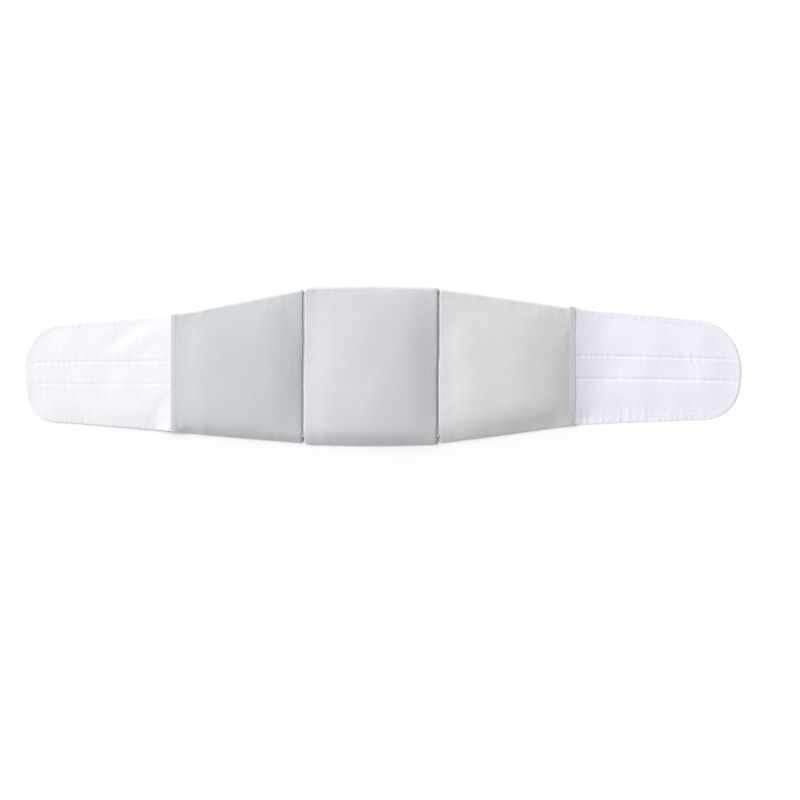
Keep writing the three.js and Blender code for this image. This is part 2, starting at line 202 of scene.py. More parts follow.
class MeshMaker:
    """Turns grids of points into closed bodies."""

    @staticmethod
    def closed_grid(name: str, top: np.ndarray, bottom: np.ndarray) -> bpy.types.Object:
        """Makes a closed body of two grids that share their border.

        Args:
            name: The object's name.
            top: Rows by columns by 3, in millimetres, rows along +X and columns along +Y.
            bottom: The same for the lower face. Its border is taken from the top grid.

        Returns:
            The new object, in metres, with a UV map of lengths along the cloth in metres.
        """
        rows, columns = top.shape[:2]
        upper = np.arange(rows * columns).reshape(rows, columns)
        lower = upper.copy()
        inner = (rows - 2) * (columns - 2)
        lower[1:-1, 1:-1] = rows * columns + np.arange(inner).reshape(rows - 2, columns - 2)
        points = np.concatenate([top.reshape(-1, 3), bottom[1:-1, 1:-1].reshape(-1, 3)])
        faces = np.concatenate([MeshMaker.squares(upper, False), MeshMaker.squares(lower, True)])
        mesh = bpy.data.meshes.new(name)
        mesh.from_pydata((points * MM).tolist(), [], faces.tolist())
        corner_uv = [
            MeshMaker.lengths_along(grid)[MeshMaker.squares(upper, flip)] * MM
            for grid, flip in ((top, False), (bottom, True))
        ]
        layer = mesh.uv_layers.new(name=UV_NAME)
        layer.data.foreach_set("uv", np.concatenate(corner_uv).ravel())
        mesh.polygons.foreach_set("use_smooth", [True] * len(mesh.polygons))
        mesh.update()
        piece = bpy.data.objects.new(name, mesh)
        bpy.context.scene.collection.objects.link(piece)
        return piece

    @staticmethod
    def squares(index: np.ndarray, flip: bool) -> np.ndarray:
        """The corners of each square of a grid of point numbers, turned over where asked."""
        order = [index[:-1, :-1], index[1:, :-1], index[1:, 1:], index[:-1, 1:]]
        return np.stack(order[::-1] if flip else order, axis=-1).reshape(-1, 4)

    @staticmethod
    def lengths_along(grid: np.ndarray) -> np.ndarray:
        """The lengths along the cloth to each point of a grid.

        Args:
            grid: Rows by columns by 3, in millimetres.

        Returns:
            One pair of lengths a point, rows first.
        """
        along = np.linalg.norm(np.diff(grid, axis=0), axis=2).mean(axis=1)
        across = np.linalg.norm(np.diff(grid, axis=1), axis=2).mean(axis=0)
        u = np.concatenate([[0.0], np.cumsum(along)])
        v = np.concatenate([[0.0], np.cumsum(across)])
        return np.stack(np.meshgrid(u, v, indexing="ij"), axis=-1).reshape(-1, 2)

    @staticmethod
    def open_lines(name: str, lines: list[np.ndarray]) -> bpy.types.Object:
        """An object whose mesh holds several open lines, given in millimetres.

        Args:
            name: The object's name.
            lines: The points of each line, in millimetres.

        Returns:
            The new object, in metres.
        """
        points = np.concatenate(lines)
        edges = []
        start = 0
        for row in lines:
            edges += [(start + i, start + i + 1) for i in range(len(row) - 1)]
            start += len(row)
        mesh = bpy.data.meshes.new(name)
        mesh.from_pydata((points * MM).tolist(), edges, [])
        piece = bpy.data.objects.new(name, mesh)
        bpy.context.scene.collection.objects.link(piece)
        return piece


class NodeTree:
    """A tree of nodes, with short calls to add and join them."""

    def __init__(self, tree: bpy.types.NodeTree) -> None:
        """Takes the tree that the nodes go into."""
        self.tree = tree

    def add(self, kind: str, **settings: object) -> bpy.types.Node:
        """Adds a node.

        Args:
            kind: The node's type.
            settings: Values of its properties, or of its inputs by their names.

        Returns:
            The new node.
        """
        node = self.tree.nodes.new(kind)
        for key, value in settings.items():
            if hasattr(node, key):
                setattr(node, key, value)
            else:
                node.inputs[key.replace("_", " ")].default_value = value
        return node

    def join(self, source: bpy.types.Node, output: str | int, target: bpy.types.Node,
             socket: str | int) -> None:
        """Joins an output to an input, each by its name or number."""
        self.tree.links.new(source.outputs[output], target.inputs[socket])


class Shader(NodeTree):
    """A material's nodes, which end in one Principled shader."""

    def __init__(self, name: str) -> None:
        """Makes an empty material of that name.

        Args:
            name: The material's name.
        """
        self.material = bpy.data.materials.new(name)
        self.material.use_nodes = True
        super().__init__(self.material.node_tree)
        self.tree.nodes.clear()
        self.surface = self.add("ShaderNodeBsdfPrincipled")
        output = self.add("ShaderNodeOutputMaterial")
        self.join(self.surface, "BSDF", output, "Surface")
        self.place = self.add("ShaderNodeTexCoord")

    def noise(self, scale: float, detail: float = 2.0, space: str = "Object",
              stretch: tuple[float, float, float] = (1, 1, 1)) -> bpy.types.Node:
        """A noise pattern.

        Args:
            scale: Cells a metre.
            detail: How many finer layers it has.
            space: The texture coordinate that it reads.
            stretch: A scale on each axis.

        Returns:
            The noise node.
        """
        mapping = self.add("ShaderNodeMapping", Scale=stretch)
        self.join(self.place, space, mapping, "Vector")
        pattern = self.add("ShaderNodeTexNoise", Scale=scale, Detail=detail)
        self.join(mapping, "Vector", pattern, "Vector")
        return pattern

    def threads(self, spacing: float, direction: str) -> bpy.types.Node:
        """The rounded ridges of one set of threads along the cloth.

        Args:
            spacing: The distance between two threads, in metres.
            direction: The axis of the UV map along which they follow one another.

        Returns:
            The wave pattern's node.
        """
        wave = self.add("ShaderNodeTexWave", wave_type="BANDS", bands_direction=direction,
                        Scale=math.tau / (20 * spacing), Distortion=0.6, Detail=1.0)
        wave.inputs["Detail Scale"].default_value = 1.5
        self.join(self.place, "UV", wave, "Vector")
        return wave

    def ramp(self, source: bpy.types.Node, low: float, high: float) -> bpy.types.Node:
        """Maps a pattern from 0 and 1 to two values.

        Args:
            source: The pattern.
            low: The value where the pattern is 0.
            high: The value where it is 1.

        Returns:
            The node that gives the value.
        """
        node = self.add("ShaderNodeMapRange", To_Min=low, To_Max=high)
        self.join(source, 0, node, "Value")
        return node

    def colours(self, source: bpy.types.Node, dark: tuple[float, ...],
                light: tuple[float, ...]) -> None:
        """Colours the surface with two colours by a pattern.

        Args:
            source: The pattern.
            dark: The colour where the pattern is 0.
            light: The colour where it is 1.
        """
        node = self.add("ShaderNodeMix", data_type="RGBA")
        node.inputs[6].default_value = (*dark, 1)
        node.inputs[7].default_value = (*light, 1)
        self.join(source, 0, node, 0)
        self.join(node, 2, self.surface, "Base Color")

    def mottle(self, source: bpy.types.Node, colour: tuple[float, ...], stray: float) -> None:
        """Colours the surface with one colour that strays by a share both ways."""
        dark, light = (tuple(c * (1 + side * stray) for c in colour) for side in (-1, 1))
        self.colours(source, dark, light)

    def even(self, **values: object) -> None:
        """Sets inputs of the shader itself that are the same all over the surface."""
        for socket, value in values.items():
            self.surface.inputs[socket.replace("_", " ")].default_value = value

    def bump(self, source: bpy.types.Node, depth: float, strength: float,
             under: bpy.types.Node | None = None) -> bpy.types.Node:
        """A bump of a pattern over another bump.

        Args:
            source: The pattern.
            depth: The relief's height in metres.
            strength: Its share, from 0 to 1.
            under: The bump that it is added to.

        Returns:
            The bump node.
        """
        node = self.add("ShaderNodeBump", Strength=strength, Distance=depth)
        self.join(source, 0, node, "Height")
        if under is not None:
            self.join(under, "Normal", node, "Normal")
        return node


@dataclass(frozen=True)
class CoverCloth:
    """Smooth, closely woven cover cloth with a faint gloss.

    Attributes:
        name: The material's name.
        colour: Its mean colour.
        mottle: How far the colour strays, as a share.
        roughness: The surface's mean roughness.
        thread: The distance between two threads, in metres.
        sheen: The strength of its soft sheen.
        sheen_roughness: How broad the sheen is.
        gloss: Its specular level.
    """

    name: str = "light_grey_cover_cloth"
    colour: tuple[float, float, float] = (0.59, 0.597, 0.617)
    mottle: float = 0.022
    roughness: float = 0.56
    thread: float = 0.00042
    sheen: float = 0.12
    sheen_roughness: float = 0.45
    gloss: float = 0.35

    def build(self) -> bpy.types.Material:
        """Makes the material.

        Returns:
            The new material.
        """
        shader = Shader(self.name)
        cloudy = shader.noise(scale=38, detail=4)
        shader.mottle(cloudy, self.colour, self.mottle)
        fine = shader.noise(scale=420, detail=3)
        rough = shader.ramp(fine, self.roughness - 0.07, self.roughness + 0.07)
        shader.join(rough, 0, shader.surface, "Roughness")
        warp = shader.threads(self.thread, "X")
        weft = shader.threads(self.thread, "Y")
        slubs = shader.noise(scale=160, detail=2, space="UV", stretch=(1, 9, 1))
        relief = shader.bump(cloudy, depth=0.0004, strength=0.08)
        relief = shader.bump(slubs, depth=0.00012, strength=0.35, under=relief)
        for threads in (warp, weft):
            relief = shader.bump(threads, depth=0.00005, strength=0.35, under=relief)
        shader.join(relief, "Normal", shader.surface, "Normal")
        shader.even(Sheen_Weight=self.sheen, Sheen_Roughness=self.sheen_roughness,
                    Specular_IOR_Level=self.gloss)
        return shader.material


@dataclass(frozen=True)
class LoopCloth:
    """Soft brushed loop cloth, matt and fuzzy.

    Attributes:
        name: The material's name.
        colour: Its mean colour. The two flaps get a lighter and a darker, bluer copy of it, which is
            painted light and painted shade.
        mottle: How far the colour strays, as a share.
        roughness: The surface's roughness.
        sheen: The strength of its fuzzy sheen.
        sheen_roughness: How broad the sheen is.
        gloss: Its specular level.
    """

    name: str
    colour: tuple[float, float, float]
    mottle: float = 0.012
    roughness: float = 0.95
    sheen: float = 0.25
    sheen_roughness: float = 0.7
    gloss: float = 0.15

    def build(self) -> bpy.types.Material:
        """Makes the material.

        Returns:
            The new material.
        """
        shader = Shader(self.name)
        shader.mottle(shader.noise(scale=55, detail=4), self.colour, self.mottle)
        tufts = shader.noise(scale=700, detail=4)
        loops = shader.noise(scale=2200, detail=2)
        brushed = shader.noise(scale=180, detail=3, space="UV", stretch=(0.35, 1.6, 1))
        relief = shader.bump(brushed, depth=0.0003, strength=0.3)
        relief = shader.bump(tufts, depth=0.0003, strength=0.45, under=relief)
        relief = shader.bump(loops, depth=0.00012, strength=0.5, under=relief)
        shader.join(relief, "Normal", shader.surface, "Normal")
        shader.even(Roughness=self.roughness, Sheen_Weight=self.sheen,
                    Sheen_Roughness=self.sheen_roughness, Specular_IOR_Level=self.gloss)
        return shader.material


@dataclass(frozen=True)
class Thread:
    """Sewing thread with its ply showing.

    Attributes:
        name: The material's name.
        colour: Its colour on top of the ply.
        shade: The colour between the ply, as a share of that: painted shade in the hollows between the
            strands.
        roughness: The surface's roughness.
        sheen: The strength of its sheen.
    """

    name: str
    colour: tuple[float, float, float]
    shade: float = 0.9
    roughness: float = 0.6
    sheen: float = 0.2

    def build(self) -> bpy.types.Material:
        """Makes the material.

        Returns:
            The new material.
        """
        shader = Shader(self.name)
        ply = shader.noise(scale=1500, detail=2, stretch=(1, 3, 1))
        # Darker where the ply's bump is low: painted shade between the strands.
        shader.colours(ply, tuple(c * self.shade for c in self.colour), self.colour)
        relief = shader.bump(ply, depth=0.0001, strength=0.5)
        shader.join(relief, "Normal", shader.surface, "Normal")
        shader.even(Roughness=self.roughness, Sheen_Weight=self.sheen)
        return shader.material


@dataclass(frozen=True)
class FloorPaint:
    """The plain pale floor.

    Attributes:
        name: The material's name.
        colour: Its colour.
        roughness: The surface's roughness.
        gloss: Its specular level.
    """

    name: str = "pale_floor"
    colour: tuple[float, float, float] = (0.93, 0.93, 0.93)
    roughness: float = 0.9
    gloss: float = 0.1

    def build(self) -> bpy.types.Material:
        """Makes the material.

        Returns:
            The new material.
        """
        shader = Shader(self.name)
        shader.even(Base_Color=(*self.colour, 1), Roughness=self.roughness,
                    Specular_IOR_Level=self.gloss)
        return shader.material


class NodeTool(NodeTree):
    """A Geometry Nodes tree that is built once and then run on several lines."""

    def __init__(self, name: str, inputs: dict[str, str]) -> None:
        """Makes the tree with its named inputs.

        Args:
            name: The tree's name.
            inputs: Each input's name and socket kind.
        """
        super().__init__(bpy.data.node_groups.new(name, "GeometryNodeTree"))
        sockets = self.tree.interface
        sockets.new_socket("Geometry", in_out="INPUT", socket_type="NodeSocketGeometry")
        for title, kind in inputs.items():
            sockets.new_socket(title, in_out="INPUT", socket_type=kind)
        sockets.new_socket("Geometry", in_out="OUTPUT", socket_type="NodeSocketGeometry")
        self.start = self.add("NodeGroupInput")
        self.end = self.add("NodeGroupOutput")

    def maths(self, operation: str, first: tuple, second: tuple | float) -> bpy.types.Node:
        """A maths node on an output and an output or number.

        Args:
            operation: What it does.
            first: A node and the name or number of its output.
            second: The same, or a plain number.

        Returns:
            The new node.
        """
        node = self.add("ShaderNodeMath", operation=operation)
        self.join(first[0], first[1], node, 0)
        if isinstance(second, tuple):
            self.join(second[0], second[1], node, 1)
        else:
            node.inputs[1].default_value = second
        return node

    def close(self, source: bpy.types.Node) -> None:
        """Ends the tree: shades smooth, realizes instances and sets the material.

        Args:
            source: The node whose first output is the finished geometry.
        """
        shade = self.add("GeometryNodeSetShadeSmooth")
        real = self.add("GeometryNodeRealizeInstances")
        dress = self.add("GeometryNodeSetMaterial")
        self.join(source, 0, shade, 0)
        self.join(shade, 0, real, 0)
        self.join(real, 0, dress, "Geometry")
        self.join(self.start, "Material", dress, "Material")
        self.join(dress, 0, self.end, 0)

    def run(self, carrier: bpy.types.Object, values: dict[str, object]) -> bpy.types.Object:
        """Runs the tree on a line and keeps its result as a plain mesh.

        Args:
            carrier: The object that holds the line. Its mesh is replaced by the result.
            values: The value of each named input.

        Returns:
            The same object, with no modifier left.
        """
        modifier = carrier.modifiers.new("make", "NODES")
        modifier.node_group = self.tree
        for item in self.tree.interface.items_tree:
            if item.in_out == "INPUT" and item.name in values:
                modifier[item.identifier] = values[item.name]
        bpy.context.view_layer.update()
        graph = bpy.context.evaluated_depsgraph_get()
        made = bpy.data.meshes.new_from_object(carrier.evaluated_get(graph))
        carrier.modifiers.remove(modifier)
        old = carrier.data
        carrier.data = made
        made.name = carrier.name
        bpy.data.meshes.remove(old)
        return carrier


@dataclass
class StitchMaker:
    """Rows of sewn stitches along lines.

    Attributes:
        stitch: A stitch's length.
        gap: The distance between two stitches.
        thickness: The thread's width.
        stray: How far a stitch may turn from its row, in radians.
        tool: The tree that lays the stitches.
    """

    stitch: float = 2.7
    gap: float = 0.7
    thickness: float = 0.5
    stray: float = 0.07
    tool: NodeTool = field(init=False)

    def __post_init__(self) -> None:
        """Builds the tree: resampled lines with a rounded stitch on each point."""
        self.tool = tool = NodeTool("stitch_rows", {
            "Stitch Length": "NodeSocketFloat",
            "Stitch Gap": "NodeSocketFloat",
            "Thread Width": "NodeSocketFloat",
            "Turn": "NodeSocketFloat",
            "Material": "NodeSocketMaterial",
        })
        curve = tool.add("GeometryNodeMeshToCurve")
        tool.join(tool.start, "Geometry", curve, 0)
        pitch = tool.maths("ADD", (tool.start, "Stitch Length"), (tool.start, "Stitch Gap"))
        spaced = tool.add("GeometryNodeResampleCurve", mode="LENGTH")
        tool.join(curve, 0, spaced, "Curve")
        tool.join(pitch, 0, spaced, "Length")
        tangent = tool.add("GeometryNodeInputTangent")
        lie = tool.add("FunctionNodeAlignRotationToVector", axis="X")
        tool.join(tangent, 0, lie, "Vector")
        stray = tool.add("FunctionNodeRandomValue", data_type="FLOAT", Seed=7)
        back = tool.maths("MULTIPLY", (tool.start, "Turn"), -1.0)
        tool.join(back, 0, stray, 2)
        tool.join(tool.start, "Turn", stray, 3)
        yaw = tool.add("FunctionNodeAxisAngleToRotation", Axis=(0, 0, 1))
        tool.join(stray, 1, yaw, "Angle")
        turned = tool.add("FunctionNodeRotateRotation", rotation_space="LOCAL")
        tool.join(lie, 0, turned, 0)
        tool.join(yaw, 0, turned, 1)
        half_length = tool.maths("MULTIPLY", (tool.start, "Stitch Length"), 0.5)
        half_width = tool.maths("MULTIPLY", (tool.start, "Thread Width"), 0.5)
        size = tool.add("ShaderNodeCombineXYZ")
        tool.join(half_length, 0, size, 0)
        tool.join(half_width, 0, size, 1)
        tool.join(half_width, 0, size, 2)
        grain = tool.add("GeometryNodeMeshUVSphere", Segments=8, Rings=6, Radius=1.0)
        laid = tool.add("GeometryNodeInstanceOnPoints")
        upright = tool.add("GeometryNodeTransform")
        upright.inputs["Rotation"].default_value = (0, math.pi / 2, 0)
        tool.join(grain, 0, upright, 0)
        tool.join(spaced, 0, laid, "Points")
        tool.join(upright, 0, laid, "Instance")
        tool.join(turned, 0, laid, "Rotation")
        tool.join(size, 0, laid, "Scale")
        tool.close(laid)

    def rows(self, name: str, lines: list[np.ndarray],
             thread: bpy.types.Material) -> bpy.types.Object:
        """Sews rows of stitches.

        Args:
            name: The piece's name.
            lines: The rows, as points in millimetres.
            thread: The thread's material.

        Returns:
            One piece that holds all the rows.
        """
        carrier = MeshMaker.open_lines(name, lines)
        return self.tool.run(carrier, {
            "Stitch Length": self.stitch * MM,
            "Stitch Gap": self.gap * MM,
            "Thread Width": self.thickness * MM,
            "Turn": self.stray,
            "Material": thread,
        })


@dataclass
class WebMaker:
    """The folded cloth at the bottom of a crease, swept along the seam.

    Attributes:
        width: How far the web reaches across the crease.
        thickness: Its thickness.
        wander: How far it strays from its line.
        step: The distance between two sections of the sweep.
        corner: The round of its section, as a share of its thickness.
        tool: The tree that sweeps it.
    """

    width: float = 3.4
    thickness: float = 1.8
    wander: float = 0.25
    step: float = 2.0
    corner: float = 0.4
    tool: NodeTool = field(init=False)

    def __post_init__(self) -> None:
        """Builds the tree: a rounded section swept along a line, then ruffled a little."""
        self.tool = tool = NodeTool("seam_web", {
            "Width": "NodeSocketFloat",
            "Thickness": "NodeSocketFloat",
            "Wander": "NodeSocketFloat",
            "Material": "NodeSocketMaterial",
        })
        curve = tool.add("GeometryNodeMeshToCurve")
        tool.join(tool.start, "Geometry", curve, 0)
        spaced = tool.add("GeometryNodeResampleCurve", mode="LENGTH", Length=self.step * MM)
        tool.join(curve, 0, spaced, "Curve")
        level = tool.add("GeometryNodeSetCurveNormal", mode="Z_UP")
        tool.join(spaced, 0, level, 0)
        section = tool.add("GeometryNodeCurvePrimitiveQuadrilateral")
        tool.join(tool.start, "Width", section, "Width")
        tool.join(tool.start, "Thickness", section, "Height")
        round_off = tool.add("GeometryNodeFilletCurve", mode="POLY", Count=3)
        corner = tool.maths("MULTIPLY", (tool.start, "Thickness"), self.corner)
        tool.join(section, 0, round_off, "Curve")
        tool.join(corner, 0, round_off, "Radius")
        sweep = tool.add("GeometryNodeCurveToMesh", Fill_Caps=True)
        tool.join(level, 0, sweep, "Curve")
        tool.join(round_off, 0, sweep, "Profile Curve")
        pattern = tool.add("ShaderNodeTexNoise", Scale=70.0, Detail=2.0)
        centred = tool.add("ShaderNodeVectorMath", operation="SUBTRACT")
        centred.inputs[1].default_value = (0.5, 0.5, 0.5)
        tool.join(pattern, "Color", centred, 0)
        scaled = tool.add("ShaderNodeVectorMath", operation="SCALE")
        tool.join(centred, 0, scaled, 0)
        tool.join(tool.start, "Wander", scaled, "Scale")
        moved = tool.add("GeometryNodeSetPosition")
        tool.join(sweep, 0, moved, 0)
        tool.join(scaled, 0, moved, "Offset")
        tool.close(moved)

    def sweep(self, name: str, line: np.ndarray, cloth: bpy.types.Material) -> bpy.types.Object:
        """Sweeps the web along a line of points in millimetres.

        Args:
            name: The piece's name.
            line: The line's points, in millimetres.
            cloth: The web's material.

        Returns:
            The finished web.
        """
        carrier = MeshMaker.open_lines(name, [line])
        return self.tool.run(carrier, {
            "Width": self.width * MM,
            "Thickness": self.thickness * MM,
            "Wander": self.wander * MM,
            "Material": cloth,
        })


@dataclass(frozen=True)
class Crease:
    """The wavy line of a sewn crease between two panels.

    Attributes:
        shift: How far the line stands to the left in its lower part.
        step_level: The height up the belt where it shifts.
        wobble: Its small waves.
        gape: How the crease's width strays.
        step_height: How far up the belt the shift takes.
        least_gape: The least that the width strays, on each side.
        most_gape: The most.
    """

    shift: float
    step_level: float
    wobble: Ripples
    gape: Ripples
    step_height: float = 24.0
    least_gape: float = -0.45
    most_gape: float = 0.6

    def offset(self, y: np.ndarray) -> np.ndarray:
        """How far the crease stands to the right of its straight line, at levels up the belt."""
        step = smooth((self.step_level + self.step_height / 2 - y) / self.step_height) - 0.5
        return -self.shift * step + self.wobble.at(y)

    def half_gape(self, y: np.ndarray) -> np.ndarray:
        """How much wider the crease is than its usual width, on each side."""
        return np.clip(self.gape.at(y), self.least_gape, self.most_gape)


@dataclass
class WingEnd:
    """The outer end of a wing, whose place and bowed level its pad, hem and flap share.

    Attributes:
        hem_node: The CAD node of its hem.
        outward: Which way the flap runs from it.
        edge_rise: The level at its two corners.
        bow: How much higher it is in the middle.
        fall: How much lower the hem's outer side is.
        corner_fall: How much lower its lower corner hangs.
        corner_reach: How far up the belt that is felt.
        hem_thickness: The turned cloth's thickness.
        low: Its lower corner's level up the belt, measured on the node, as the next three are.
        high: Its upper corner's level.
        inner: The place along the belt of the hem's side at the wing.
        outer: The place of its side at the flap.
    """

    hem_node: str
    outward: Outward
    edge_rise: float
    bow: float
    fall: float
    corner_fall: float
    corner_reach: float
    hem_thickness: float = 0.35
    low: float = field(init=False)
    high: float = field(init=False)
    inner: float = field(init=False)
    outer: float = field(init=False)

    def __post_init__(self) -> None:
        """Measures the end on its hem's node."""
        low, high = node_box(self.hem_node)
        self.low, self.high = float(low[1]), float(high[1])
        sides = (float(low[0]), float(high[0]))
        self.inner, self.outer = sides if self.outward is Outward.RIGHT else sides[::-1]

    @property
    def width(self) -> float:
        """The hem's width."""
        return abs(self.outer - self.inner)

    def rise(self, y: np.ndarray) -> np.ndarray:
        """The end's level at heights up the belt.

        Args:
            y: Heights up the belt.

        Returns:
            The level of the cloth there.
        """
        off = np.clip(np.abs(2 * y - self.low - self.high) / (self.high - self.low), 0, 1)
        drop = self.corner_fall * (1 - np.clip((y - self.low) / self.corner_reach, 0, 1)) ** 2
        return self.edge_rise + self.bow * (1 - off**2) - drop


Grid = dict[str, np.ndarray]


@dataclass(frozen=True)
class PanelPlan:
    """The plan of a padded panel, measured on its CAD node.

    Attributes:
        left: Its left end along the belt.
        right: Its right end.
        low: The lower free edge, as a curve of three factors.
        high: The upper free edge.
    """

    left: float
    right: float
    low: np.ndarray
    high: np.ndarray

    @classmethod
    def of_node(cls, node: str, clear_of_corner: float = 4.0, fullest: int = 60) -> "PanelPlan":
        """Measures a node.

        Args:
            node: The CAD node's name.
            clear_of_corner: How far from the ends the free edges are read.
            fullest: The fewest points that a whole section of the node has.

        Returns:
            The plan.
        """
        points = node_points(node)
        stations, count = np.unique(points[:, 0].round(2), return_counts=True)
        left, right = points[:, 0].min(), points[:, 0].max()
        inside = (stations > left + clear_of_corner) & (stations < right - clear_of_corner)
        stations = stations[inside & (count >= fullest)]
        sections = [points[np.abs(points[:, 0] - x) < 0.02, 1] for x in stations]
        low = np.polyfit(stations, [section.min() for section in sections], 2)
        high = np.polyfit(stations, [section.max() for section in sections], 2)
        return cls(float(left), float(right), low, high)


@dataclass
class PaddedPanel:
    """A padded panel: two covers sewn together round soft wadding.

    Attributes:
        name: The piece's name.
        node: The CAD node that it stands for.
        seed: The start of its random reliefs.
        left: The crease or wing end at its left.
        right: The crease or wing end at its right.
        left_lip: The pad's level at a crease on its left.
        right_lip: The same on its right.
        top: The level of its crest.
        crest: Where the crest is, as a share from the left.
        left_power: How late the crest falls towards the left.
        right_power: The same towards the right.
        edge_power: The same towards the free edges.
        level_crest: Where the crest is, as a share from the lower edge.
        seam_rise: The level where the covers meet at the free edges.
        crease_seam_rise: The same at a crease.
        hem_seam_drop: How far below a wing end's level the covers meet there.
        end_reach: How far from a wing's end the pad follows the end's own level.
        crease_round: The round of the cover's edge at a crease.
        hem_round: The same at a wing end.
        edge_round: The round of the pad at its lower edge.
        lower_roll: How far in the pad starts to roll down to its lower edge.
        upper_roll: The same at its upper edge.
        roll_power: How steeply it rolls: a higher power is steeper at the edge.
        under_roll: How far in the lower cover lies flat.
        corner: The round of its plan's corners at a crease.
        edge_fullness: How full it is right at its lower edge, as a share.
        seam_reach: How far in from a crease the covers' meeting level rises.
        crease_reach: How far in from a crease its wavy line is felt.
        relief_clear: How far in from its border the broad relief starts.
        sewn_clear: How far in from a corner the gathers start.
        ridge_height: The height of the pressed seam lines at its right crease.
        ridges: Those lines, each as (distance from the crease, width, share of the height).
        filling: How full of wadding it is, as a share. Not used.
        plan: Its plan, measured on the node.
    """

    name: str
    node: str
    seed: int
    left: Crease | WingEnd
    right: Crease | WingEnd
    left_lip: float = 6.8
    right_lip: float = 6.8
    top: float = 12.0
    crest: float = 0.62
    left_power: float = 2.0
    right_power: float = 2.0
    edge_power: float = 2.6
    level_crest: float = 0.42
    seam_rise: float = 1.5
    crease_seam_rise: float = 4.2
    hem_seam_drop: float = 0.8
    crease_round: float = 1.2
    hem_round: float = 0.7
    edge_round: float = 5.0
    end_reach: float = 20.0
    lower_roll: float = 24.0
    upper_roll: float = 3.2
    roll_power: float = 2.2
    under_roll: float = 5.0
    corner: float = 3.6
    edge_fullness: float = 0.45
    seam_reach: float = 9.0
    crease_reach: float = 14.0
    relief_clear: float = 7.0
    sewn_clear: float = 5.0
    ridge_height: float = 0.13
    ridges: tuple[tuple[float, float, float], ...] = ((4.2, 0.9, 1.0), (7.4, 1.0, 0.8))
    filling: float = 0.45
    plan: PanelPlan = field(init=False)

    def __post_init__(self) -> None:
        """Measures the plan."""
        self.plan = PanelPlan.of_node(self.node)

    def grid(self, first: float, growth: float, widest: float) -> Grid:
        """Lays a grid over the panel's plan.

        Args:
            first: The first step in from an edge.
            growth: How much each step grows.
            widest: The longest step.

        Returns:
            The points' x and y, their distances to the ends and free edges, and their shares.
        """
        width = self.plan.right - self.plan.left
        along = graded(width, first, growth, widest)
        tallest = np.polyval(self.plan.high, 0) - np.polyval(self.plan.low, 0)
        up = graded(float(tallest), first, growth, widest) / tallest
        x = self.plan.left + along
        pulled = np.zeros_like(x)
        for end, from_end in ((self.left, along), (self.right, width - along)):
            if isinstance(end, Crease):
                pulled += self.corner * (1 - quarter_round(from_end / self.corner))
        low = np.polyval(self.plan.low, x) + pulled
        high = np.polyval(self.plan.high, x) - pulled
        y = low[:, None] + up[None, :] * (high - low)[:, None]
        shape = y.shape
        return {
            "x": np.broadcast_to(x[:, None], shape).copy(),
            "y": y,
            "from_left": np.broadcast_to(along[:, None], shape),
            "from_right": np.broadcast_to((width - along)[:, None], shape),
            "from_low": y - low[:, None],
            "from_high": high[:, None] - y,
            "along": np.broadcast_to((along / width)[:, None], shape),
            "up": np.broadcast_to(up[None, :], shape),
        }

    def upper(self, g: Grid) -> np.ndarray:
        """The smooth height of the upper cover over the grid.

        Args:
            g: The grid over the panel's plan.

        Returns:
            The height of each point.
        """
        body = np.ones_like(g["y"])
        lips = []
        for (end, from_end), lip in zip(self.ends(g), (self.left_lip, self.right_lip)):
            sewn = isinstance(end, Crease)
            body = body * quarter_round(from_end / (self.crease_round if sewn else self.hem_round))
            lips.append(lip if sewn else end.rise(g["y"]))
        base = lips[0] + (lips[1] - lips[0]) * g["along"]
        rolled = self.roll(g)
        for end, from_end in self.ends(g):
            if isinstance(end, WingEnd):
                rolled = rolled + (1 - rolled) * (1 - smooth(from_end / self.end_reach))
        full = self.seam_rise + (base - self.seam_rise) * rolled
        full = full + self.crown(g["along"]) * arch(g["up"], self.edge_power, self.level_crest)
        seam = self.seam(g)
        return seam + (full - seam) * body

    def crown(self, along: np.ndarray) -> np.ndarray:
        """How much higher the pad's middle is than a straight line between its ends.

        Args:
            along: Shares of the panel's width, from the left.

        Returns:
            The extra height.
        """
        levels = []
        for end, lip in ((self.left, self.left_lip), (self.right, self.right_lip)):
            levels.append(lip if isinstance(end, Crease) else end.edge_rise + end.bow)
        first, last = levels
        before = np.clip((self.crest - along) / self.crest, 0, 1) ** self.left_power
        after = np.clip((along - self.crest) / (1 - self.crest), 0, 1) ** self.right_power
        level = self.top - (self.top - first) * before - (self.top - last) * after
        return level - (first + (last - first) * along)

    def ends(self, g: Grid) -> list[tuple[Crease | WingEnd, np.ndarray]]:
        """Each end, and the distance to it."""
        return [(self.left, g["from_left"]), (self.right, g["from_right"])]

    def roll(self, g: Grid) -> np.ndarray:
        """How full the pad is near its free edges, from 0 to 1.

        Args:
            g: The grid over the panel's plan.

        Returns:
            The share of its full height.
        """
        full = np.ones_like(g["y"])
        for side, width in (("from_low", self.lower_roll), ("from_high", self.upper_roll)):
            full = full * (1 - (1 - np.clip(g[side] / width, 0, 1)) ** self.roll_power)
        rest = 1 - self.edge_fullness
        return full * (self.edge_fullness + rest * quarter_round(g["from_low"] / self.edge_round))

    def seam(self, g: Grid) -> np.ndarray:
        """The level where the two covers meet, which rises towards a crease or a hem.

        Args:
            g: The grid over the panel's plan.

        Returns:
            The level at each point.
        """
        level = np.full_like(g["y"], self.seam_rise)
        for end, from_end in self.ends(g):
            sewn = isinstance(end, Crease)
            target = self.crease_seam_rise if sewn else end.rise(g["y"]) - self.hem_seam_drop
            near = 1 - smooth(from_end / (self.seam_reach if sewn else self.end_reach))
            level = level + (target - self.seam_rise) * near * (self.roll(g) if sewn else 1)
        return level

